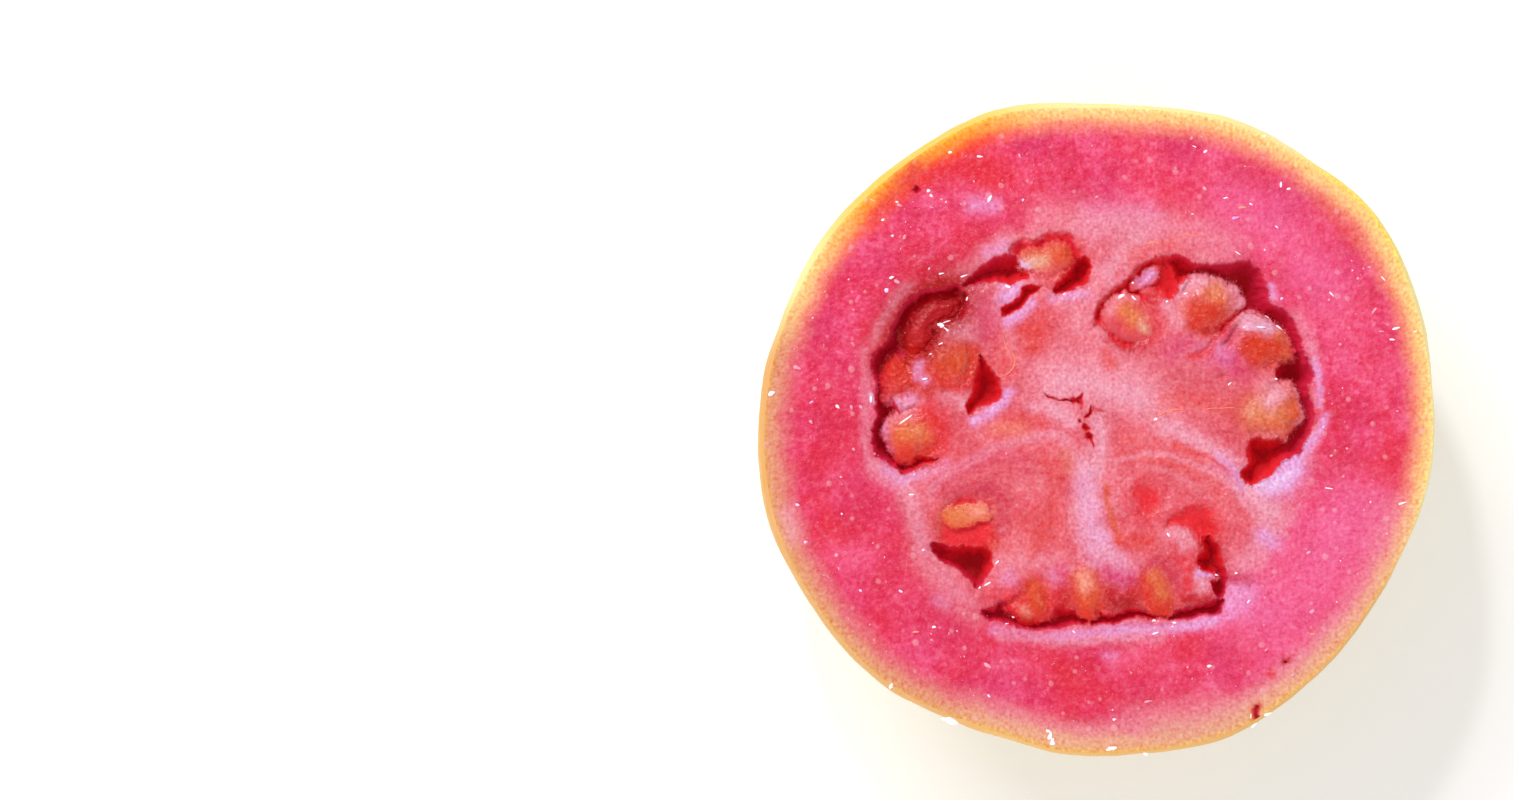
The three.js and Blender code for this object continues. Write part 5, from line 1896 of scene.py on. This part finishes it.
@dataclass
class FringeWork:
    """Torn sac fibres where the lumps stand over a hollow, as one mesh of tapering hairs."""

    radius: float = 0.02
    length: float = 0.24
    density: float = 45.0
    step: float = 0.05
    seed: int = 77

    def add_fibres(self, parts: MeshParts, roots: Array, directions: Array,
                   lengths: Array, paint: Array, draw: np.random.Generator) -> None:
        """Adds three-sided fibres that taper and bend, and are paler at their tips.

        Args:
            parts: the mesh that they go in.
            roots: where they start, shape (n, 3).
            directions: where they point, shape (n, 3).
            lengths: their lengths, shape (n,).
            paint: their colours, shape (n, 3).
            draw: the source of their bends.
        """
        helper = np.where(np.abs(directions[:, 2:3]) > 0.8, [[1.0, 0, 0]], [[0, 0, 1.0]])
        side = unit(np.cross(directions, helper))
        other = np.cross(directions, side)
        bend = draw.normal(0, 0.3, (len(roots), 2))
        curve = side * bend[:, :1] + other * bend[:, 1:]
        rings = []
        for share, width in ((0.0, 1.0), (0.55, 0.75)):
            middle = roots + directions * (lengths * share)[:, None] + curve * (lengths * share**2)[:, None]
            for corner in range(3):
                turn = 2 * math.pi * corner / 3
                rings.append(middle + self.radius * width * (side * math.cos(turn) + other * math.sin(turn)))
        tips = roots + (directions + curve) * lengths[:, None]
        vertices = np.stack([*rings, tips], axis=1).reshape(-1, 3)
        shades = [mixed(paint, P.PEACH.linear(), share) for share in (0.0, 0.1, 0.3)]
        colours = np.stack([shades[0]] * 3 + [shades[1]] * 3 + [shades[2]], axis=1).reshape(-1, 3)
        quads = np.array([[0, 1, 4, 3], [1, 2, 5, 4], [2, 0, 3, 5]])
        ends = np.array([[3, 4, 6], [4, 5, 6], [5, 3, 6]])
        offsets = (7 * np.arange(len(roots)))[:, None, None]
        parts.add(vertices, (quads + offsets).reshape(-1, 4), (ends + offsets).reshape(-1, 3), paint=colours)

    def build(self, relief: Relief, painter: Painter) -> bpy.types.Object:
        """Makes the fibres.

        Args:
            relief: the face that they grow from.
            painter: its colours.

        Returns:
            The new object.
        """
        draw = np.random.default_rng(self.seed)
        parts = MeshParts()
        for lump in LUMPS:
            line = smooth_curve(lump.outline, self.step, closed=True)
            chosen = draw.integers(0, len(line) - 1, int(len(line) * self.step * self.density))
            ahead = unit(line[chosen + 1] - line[chosen])
            outward = np.column_stack([ahead[:, 1], -ahead[:, 0]])
            outward *= np.where(lies_inside(line[chosen] + 0.3 * outward, line), -1, 1)[:, None]
            beyond, _, _ = relief.measure(line[chosen] + 0.5 * outward)
            count = np.count_nonzero(beyond > 1.2)
            line, outward = line[chosen][beyond > 1.2], outward[beyond > 1.2]
            roots = line + outward * draw.normal(-0.16, 0.14, count)[:, None]
            depth, sunk, on_lump = relief.measure(roots)
            rise = draw.uniform(-0.35, 0.35, count)
            directions = unit(np.column_stack([outward, rise]) + draw.normal(0, 0.45, (count, 3)))
            height = FORM.cut_height - np.minimum(depth, 1.6) - draw.uniform(0, 0.5, count)
            places = np.column_stack([roots, height])
            paint = painter.paint(roots, np.minimum(sunk, 0.3), np.maximum(on_lump, 0.8))
            # The fibres nearer the cut are paler: painted light on the higher fibres.
            paint += (P.FROST.linear() - paint) * 0.5 * smooth_step(1.8, 0.4, depth)[:, None]
            lengths = self.length * draw.uniform(0.4, 0.9, count)
            self.add_fibres(parts, places, directions, lengths, paint, draw)
        return parts.build("sac_fringe", np.tile([0.0, 0.0, 1.0], (parts.count, 1)))


@dataclass(frozen=True)
class Vessel:
    """A thin pale vessel lying on the pulp: its line and half thickness."""

    line: tuple[float, ...]
    radius: float = 0.09


VESSELS = (
    Vessel((5.3, 0.8, 5.7, 1.3, 6.4, 1.8, 7.3, 2.05, 8.6, 2)),
    Vessel((9.2, 2, 10.4, 2.1, 12.2, 2.2, 14.2, 2.15), 0.05),
    Vessel((-9.7, 5, -8.9, 5.5, -8.3, 6.1, -8.2, 7.2, -8.8, 8.2), 0.08),
    Vessel((4.2, 17.9, 5.2, 18.2, 6.3, 18.2), 0.08),
    Vessel((-9.4, 9.4, -9, 8, -8.2, 7), 0.06),
    Vessel((6.4, 18.6, 8.4, 19, 10.6, 18.6), 0.05),
)


@dataclass
class VesselWork:
    """Every vessel, as one mesh of thin tubes half sunk in the surface."""

    sides: int = 6
    spacing: float = 0.12
    wander: float = 0.05

    def build(self, relief: Relief) -> bpy.types.Object:
        """Makes the tubes.

        Args:
            relief: the face that they lie on.

        Returns:
            The new object.
        """
        parts = MeshParts()
        for index, vessel in enumerate(VESSELS):
            line = smooth_curve(vessel.line, self.spacing, closed=False)
            shift = [gradient_noise(line, 0.8, first + index) for first in (801, 811)]
            line = line + self.wander * np.column_stack(shift)
            depth, _, _ = relief.measure(line)
            middle = np.column_stack([line, FORM.cut_height - depth - vessel.radius * 0.1])
            ahead = unit(np.gradient(line, axis=0))
            side = np.column_stack([-ahead[:, 1], ahead[:, 0], np.zeros(len(line))])
            up = np.array([0, 0, 1.0])
            along = np.linspace(0, 1, len(line))
            taper = vessel.radius * np.sin(np.pi * np.clip(along, 0.04, 0.96)) ** 0.4
            rings = []
            for corner in range(self.sides):
                turn = 2 * math.pi * corner / self.sides
                rings.append(middle + taper[:, None] * (side * math.cos(turn) + up * math.sin(turn)))
            vertices = np.stack(rings, axis=1).reshape(-1, 3)
            fade = np.repeat(np.sin(np.pi * along), self.sides)[:, None]
            paint = mixed(P.SALMON.linear(), P.SHRIMP.linear(), fade)
            parts.add(vertices, grid_faces(len(line), self.sides, wraps=True), paint=paint)
        return parts.build("vessels")


@dataclass(frozen=True)
class Bead:
    """A bead of juice or a grain on the cut: its place, length, width, heading and pigment."""

    x: float
    y: float
    length: float
    width: float
    heading: float = 0.0
    pigment: Pigment = Pigment.GLINT


# Beads of juice, painted near white: a painted highlight laid on each bead.
JUICE_GLINTS = (
    (-15.2, 10.1, 1, 0.5, 130), (-14.8, 10.5, 1.3, 0.22, 20), (-15.5, 10.2, 0.6, 0.3, 130),
    (-14.7, 9.7, 0.8, 0.25, 140), (-15.2, 8.45, 0.9, 0.18, 20), (-16.1, 8.7, 0.4, 0.16, 40),
    (-16.3, 7.4, 0.5, 0.16, 30), (-16.8, 5, 0.7, 0.2, 15), (-18.8, 1, 1.9, 0.2, 36),
    (-12.7, 12.9, 0.6, 0.26, 65), (-8.8, 13.9, 0.5, 0.4, 150), (-3.4, 13.2, 0.42, 0.2, 30),
    (2.1, 13, 0.6, 0.5, 20), (3.4, 12.8, 0.6, 0.22, -50), (3.3, 14.3, 0.4, 0.24, 40),
    (8.5, 13.3, 0.7, 0.16, 20), (6.6, 12.5, 0.5, 0.3), (17.7, 9.8, 1.5, 0.28, -42),
    (16.4, 11, 0.5, 0.2, -35), (14.1, 10, 0.4, 0.18, 20), (15.5, 10, 1.4, 0.22, 0), (17.1, 5, 0.6, 0.2, -5),
    (12.6, 4.5, 0.7, 0.16, 35), (18.5, -0.6, 0.6, 0.3, 55), (-9.8, -12.7, 0.8, 0.2, 45),
    (-10.7, -14.8, 1.2, 0.18, 30), (-11.5, -15.2, 0.4, 0.2, 25), (-8.2, -18.1, 0.36, 0.24),
    (-18.2, -6.2, 0.5, 0.2), (-8.9, -18.7, 0.4, 0.14, 10), (-2.4, -19.5, 0.4, 0.2, -40),
    (5.3, -18.4, 0.42, 0.34), (7.3, -18.6, 0.45, 0.24), (5.5, -19.6, 0.7, 0.18, 20),
    (14.5, -16.5, 0.6, 0.16, 55), (13.3, -13.8, 0.4, 0.26, 20), (11.4, -14, 0.4, 0.24, -20),
    (6.7, -10.1, 0.5, 0.3, -50), (5.5, 1.1, 0.4, 0.3, 40), (-22.1, 3.1, 0.7, 0.3, 90),
    (-10.6, 22.4, 0.6, 0.34, 60), (-16.5, 23.2, 0.4, 0.32), (-16.2, 22.7, 0.4, 0.24, -40),
    (-11.5, 26.5, 0.8, 0.24, 0), (-14.4, 26.9, 0.36, 0.28), (-19.6, 22.1, 0.36, 0.26),
    (-20.9, 20.4, 0.4, 0.24, 20), (-15.2, 15.2, 0.6, 0.26, 10), (-13.1, 14.95, 0.9, 0.2, 20),
    (-20.1, 14.8, 0.6, 0.26, 20), (-25.3, 2.3, 0.6, 0.34, -50), (-16, -19, 0.4, 0.34),
    (10.6, -22.8, 0.6, 0.34, 10), (1.5, -27.95, 0.44, 0.3, 20), (22.3, -5.6, 0.9, 0.22, -10),
    (29.4, -7, 0.9, 0.24, 15), (28.8, 9.9, 0.9, 0.26, 10), (28.4, 8.8, 0.6, 0.2, 0),
    (30.6, 9.6, 0.5, 0.2, 20), (17.6, 23.8, 0.6, 0.3, 80), (18.4, 23.4, 0.5, 0.24), (16, 28.5, 0.36, 0.24),
    (10.3, 27, 0.44, 0.3, 30), (9.2, 27.5, 0.4, 0.18, -30), (9, 20.95, 0.4, 0.16),
    (12.2, 22.5, 0.5, 0.2, 10), (14.7, 21.9, 0.4, 0.18, -20), (17.2, 19.7, 0.5, 0.14, -40),
    (13.4, 17.2, 0.7, 0.14, -35), (22.5, 13.2, 0.5, 0.14, -50), (27.5, 14.7, 0.8, 0.18, -45),
)

CRUST = (
    (-14.3, -28.1, 1.5, 0.7, -18), (-14.9, -27.9, 0.7, 0.45), (-13.8, -28.3, 0.6, 0.4),
    (-4.75, -29.6, 0.8, 0.45, 80), (-4.5, -30.1, 0.8, 0.6, 70), (-4.9, -29.1, 0.5, 0.35),
    (-20.1, -24.7, 0.6, 0.4, 80), (1.3, -30.75, 0.9, 0.4, 5), (0.9, -30.9, 0.5, 0.25),
    (4.5, -31.3, 0.5, 0.3), (-31.7, 3.6, 0.9, 0.5, 20), (-29.3, 6.1, 0.9, 0.4, -20, P.FROST),
    (16.4, -27.4, 0.8, 0.35, 20), (15, -28.5, 0.7, 0.24, 40), (14.7, -27.6, 0.5, 0.14, 85),
    (-10.8, -22.7, 0.8, 0.5, -30, P.FROST), (-17.8, -19.5, 0.9, 0.26, 5, P.PEACH),
    (20.6, -17.5, 0.6, 0.5, 30, P.FROST), (20.7, -19.7, 0.6, 0.3, 0, P.PEACH),
    (4.8, -26.2, 0.7, 0.26, 10, P.FROST), (-19.6, 14.4, 0.7, 0.45, -20, P.FROST),
    (-23.4, 12.7, 0.8, 0.6, 60, P.ROSE_LIGHT), (-19.3, 21.8, 0.6, 0.34, -20, P.FROST),
    (-21.9, 22.3, 0.5, 0.2, -20, P.CREAM), (-27.9, 2.7, 0.5, 0.3, 30, P.LILAC_TINT_AND_SHEEN),
    (-25, 7.5, 0.7, 0.3, -20, P.ROSE_LIGHT), (14, 21.6, 0.9, 0.3, 5, P.SAND),
    (13.2, 20.6, 0.8, 0.3, 10, P.LILAC_TINT_AND_SHEEN), (27.3, 9.6, 0.5, 0.18, 0, P.FROST),
    (26.6, 11.6, 0.7, 0.3, 50, P.FROST), (-16.2, 21.6, 0.5, 0.2, -20, P.FROST),
)


@dataclass
class BeadWork:
    """Beads of juice, pale grains and dried crust lying on the cut, as low domes; the juice beads'
    near-white paint is a painted highlight.
    """

    rows: int = 8
    columns: int = 10
    strewn: int = 300
    strewn_from: float = 20.5
    strewn_to: float = 30.6
    seed: int = 505

    def strewn_beads(self) -> list[Bead]:
        """Strews small stone grains over the firm flesh.

        Returns:
            The grains.
        """
        draw = np.random.default_rng(self.seed)
        beads = []
        for _ in range(self.strewn):
            radius = math.sqrt(draw.uniform(self.strewn_from**2, self.strewn_to**2))
            angle = draw.uniform(0, 2 * math.pi)
            size = 0.10 + 0.36 * draw.random() ** 4
            # Some grains are painted ice white: painted glints on the stone grains.
            pigment = (P.ROSE_LIGHT, P.FROST, P.ICE_HIGHLIGHT, P.PULP_LIGHT)[draw.integers(0, 4)]
            place = (radius * math.cos(angle), radius * math.sin(angle))
            beads.append(Bead(*place, size, size * draw.uniform(0.7, 1), draw.uniform(0, 180), pigment))
        return beads

    def build(self, relief: Relief, name: str, beads: list[Bead], flatness: float) -> bpy.types.Object:
        """Makes one mesh of beads.

        Args:
            relief: the face that they lie on.
            name: the piece's name.
            beads: the beads.
            flatness: height over width.

        Returns:
            The new object.
        """
        parts = MeshParts()
        depth, _, _ = relief.measure(np.array([(bead.x, bead.y) for bead in beads]))
        for index, (bead, sunk) in enumerate(zip(beads, depth)):
            half = (bead.length * 0.45, bead.width * 0.45, bead.width * flatness)
            shape, faces = oval_shape(half, self.rows, self.columns, 0.3)
            lumps = 1 + 0.6 * gradient_noise(shape + 3.0 * index, 0.5 * bead.length, 901)
            shape = shape * np.maximum(lumps, 0.25)[:, None]
            placed = turned(shape, bead.heading)
            placed += np.array([bead.x, bead.y, FORM.cut_height - sunk + bead.width * flatness * 0.05])
            paint = np.tile(bead.pigment.linear(), (len(shape), 1))
            parts.add(placed, faces, paint=paint)
        return parts.build(name)


# ------------------------------ the calyx


@dataclass
class Calyx:
    """The dried crown in the dimple: a disc, five curled sepals and the stub of the style."""

    sepals: int = 5
    disc: tuple[Point, ...] = (
        (0.0, 1.45), (0.4, 1.46), (0.55, 1.9), (0.9, 2.15), (1.6, 2.2), (2.2, 1.95), (2.7, 1.9),
        (3.05, 2.2), (3.0, 2.6), (2.8, 2.8), (0.0, 2.8),
    )
    disc_columns: int = 60
    sepal_rows: int = 22
    sepal_columns: int = 13
    root_radius: float = 2.0
    root_height: float = 2.1
    tip_radius: float = 5.5
    tip_height: float = 0.45
    half_width: float = 1.25

    def add_disc(self, parts: MeshParts) -> None:
        """Adds the disc with its raised ring and stub.

        Args:
            parts: the mesh that it goes in.
        """
        columns = self.disc_columns
        turn = np.linspace(0, 2 * np.pi, columns, endpoint=False)
        round_ring = np.column_stack([np.cos(turn), np.sin(turn)])
        vertices = np.vstack([np.column_stack([radius * round_ring, np.full(columns, height)])
                              for radius, height in self.disc])
        rough = fractal_noise(vertices, 0.7, 501) * 0.08
        vertices[:, 2] -= np.maximum(rough, -0.05)
        parts.add(vertices, grid_faces(len(self.disc), columns, wraps=True)[:, ::-1])

    def add_sepal(self, parts: MeshParts, index: int) -> None:
        """Adds one papery sepal, curled along its length and cupped across.

        Args:
            parts: the mesh that it goes in.
            index: which sepal it is.
        """
        rows, columns = self.sepal_rows, self.sepal_columns
        along, across = np.meshgrid(np.linspace(0, 1, rows), np.linspace(-1, 1, columns), indexing="ij")
        along, across = along.ravel(), across.ravel()
        x = mixed(self.root_radius, self.tip_radius, along)
        y = across * (self.half_width * (1 - along**2.2) + 0.04)
        cup = 0.22 * across**2 * (0.3 + along)
        z = mixed(self.root_height, self.tip_height, along**1.25) + cup
        sheet = np.column_stack([x, y, z])
        sheet[:, 2] += fractal_noise(sheet + 3.0 * index, 0.9, 511) * 0.12 * along
        thick = 0.16 + 0.3 * (1 - along)
        upper = sheet + np.column_stack([np.zeros_like(x), np.zeros_like(x), thick])
        low_faces = grid_faces(rows, columns, wraps=False)
        rim = [*range(columns), *[columns * (row + 1) - 1 for row in range(1, rows)]]
        rim += range(rows * columns - 2, (rows - 1) * columns - 1, -1)
        rim += [columns * row for row in range(rows - 2, 0, -1)]
        edge = np.array([[after, now, now + rows * columns, after + rows * columns]
                         for now, after in zip(rim, rim[1:] + rim[:1])])
        parts.add(turned(np.vstack([sheet, upper]), 360 * (index + 0.2) / self.sepals),
                  low_faces, low_faces[:, ::-1] + rows * columns, edge)

    def build(self) -> bpy.types.Object:
        """Makes the crown.

        Returns:
            The new object.
        """
        parts = MeshParts()
        self.add_disc(parts)
        for index in range(self.sepals):
            self.add_sepal(parts, index)
        return parts.build("calyx")


# ------------------------------ floor, light and camera


@dataclass(frozen=True)
class Lamp:
    """A square area lamp aimed at the fruit: its place and width, watts and colour."""

    name: str
    place: tuple[float, float, float]
    width: float
    watts: float
    colour: Colour = (1, 1, 1)


LAMPS = (
    Lamp("key", (-420, 520, 700), 380, 3.58),
    Lamp("low_fill", (-380, -460, 160), 260, 1.0, (1.0, 0.97, 0.92)),
    Lamp("cool_side", (520, -480, 520), 160, 1.1, (0.86, 0.86, 1.0)),
    Lamp("sparkle", (-120, 330, 560), 40, 0.8),
)


@dataclass
class Studio:
    """A pale floor, soft light, and a camera that looks straight down."""

    frame_width: float = 146.5
    frame_middle: Point = (-33.1, 2.95)
    camera_rise: float = 600.0
    sensor: float = 36.0
    floor_reach: float = 3000.0
    floor_colour: Colour = (0.93, 0.93, 0.93)
    floor_glow: float = 0.14
    room_glow: float = 0.58
    aim: tuple[float, float, float] = (0, 0, 30)

    def build_floor(self) -> bpy.types.Object:
        """Makes the floor.

        Returns:
            The new object.
        """
        corners = np.array([(-1, -1, 0), (1, -1, 0), (1, 1, 0), (-1, 1, 0)], float)
        parts = MeshParts()
        parts.add(self.floor_reach * corners, np.array([[0, 1, 2, 3]]))
        floor = parts.build("floor")
        material = bpy.data.materials.new("pale_floor")
        material.use_nodes = True
        shader = material.node_tree.nodes["Principled BSDF"]
        shader.inputs["Base Color"].default_value = (*self.floor_colour, 1)
        shader.inputs["Roughness"].default_value = 0.9
        shader.inputs["Emission Color"].default_value = (1, 1, 1, 1)
        shader.inputs["Emission Strength"].default_value = self.floor_glow
        floor.data.materials.append(material)
        return floor

    def add_lamp(self, lamp: Lamp) -> None:
        """Adds a lamp, turned to face the fruit.

        Args:
            lamp: the lamp.
        """
        light = bpy.data.lights.new(lamp.name, "AREA")
        light.size = lamp.width * MILLIMETRE
        light.energy = lamp.watts
        light.color = lamp.colour
        made = bpy.data.objects.new(lamp.name, light)
        made.location = Vector(lamp.place) * MILLIMETRE
        towards = Vector(self.aim) * MILLIMETRE - made.location
        made.rotation_euler = towards.to_track_quat("-Z", "Y").to_euler()
        bpy.context.scene.collection.objects.link(made)

    def build_light(self) -> None:
        """Makes the world's soft light and the lamps."""
        world = bpy.data.worlds.new("soft_room")
        world.use_nodes = True
        background = world.node_tree.nodes["Background"]
        background.inputs["Color"].default_value = (1.0, 1.0, 1.0, 1)
        background.inputs["Strength"].default_value = self.room_glow
        bpy.context.scene.world = world
        for lamp in LAMPS:
            self.add_lamp(lamp)

    def build_camera(self) -> None:
        """Makes the camera."""
        camera = bpy.data.cameras.new("camera")
        camera.sensor_width = self.sensor
        camera.lens = self.sensor * self.camera_rise / self.frame_width
        made = bpy.data.objects.new("camera", camera)
        height = FORM.cut_height + self.camera_rise
        made.location = Vector((*self.frame_middle, height)) * MILLIMETRE
        made.rotation_euler = (0, 0, 0)
        bpy.context.scene.collection.objects.link(made)
        bpy.context.scene.camera = made

    def build(self) -> None:
        """Makes the whole studio."""
        self.build_floor()
        self.build_light()
        self.build_camera()
        bpy.context.scene.view_settings.view_transform = "Standard"


# ------------------------------ the object


def finish_piece(made: bpy.types.Object, material: bpy.types.Material, slot: str, *nodes: str) -> None:
    """Dresses a piece, ties it to the model's body and hides the solids that it stands for.

    Args:
        made: the piece.
        material: its finish.
        slot: the record's material slot; not used.
        nodes: the solids that it stands for.
    """
    made.data.materials.append(material)
    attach(made, BODY)
    if nodes:
        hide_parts(*nodes)
    LOG.info("%s: %d faces", made.name, len(made.data.polygons))


def main() -> None:
    """Builds the guava half in its studio."""
    logging.basicConfig(level=logging.INFO, format="%(name)s: %(message)s")
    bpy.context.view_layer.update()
    effects = Effects.build()
    Studio().build()
    relief = Relief()
    painter = Painter(relief)
    flesh = FleshFinish().build(effects)
    for sheet in CutFace().build(relief, painter):
        finish_piece(sheet, flesh, "flesh", "fruit_half")
    finish_piece(Skin().build(), SkinFinish().build(effects), "skin", "fruit_half")
    seed_coat = WetFinish("guava_seed", roughness=0.28, coat=0.5, bump=0.06).build(effects)
    finish_piece(SeedBed().build(), seed_coat, "seed", "fruit_half")
    fibre = WetFinish("guava_fibre", roughness=0.4, coat=0.1, bump=0.003, scatter=0.0).build(effects)
    finish_piece(FringeWork().build(relief, painter), fibre, "flesh", "fruit_half")
    finish_piece(VesselWork().build(relief), fibre, "flesh", "fruit_half")
    # The juice beads and grains glow with their own paint: a painted highlight and a painted glow.
    juice = WetFinish("guava_juice_glint", roughness=0.12, coat=0.8, bump=0.02, shine=0.25).build(effects)
    grains = WetFinish("guava_grain", roughness=0.4, coat=0.2, bump=0.02, shine=0.2).build(effects)
    work = BeadWork()
    beads = [Bead(*row) for row in JUICE_GLINTS]
    finish_piece(work.build(relief, "juice_glint_beads", beads, flatness=0.4), juice, "flesh", "fruit_half")
    pale = [Bead(*row) for row in CRUST] + work.strewn_beads()
    finish_piece(work.build(relief, "stone_grains", pale, flatness=0.35), grains, "flesh", "fruit_half")
    finish_piece(Calyx().build(), CalyxFinish().build(effects), "calyx", "calyx_crown")


if __name__ == "__main__":
    main()
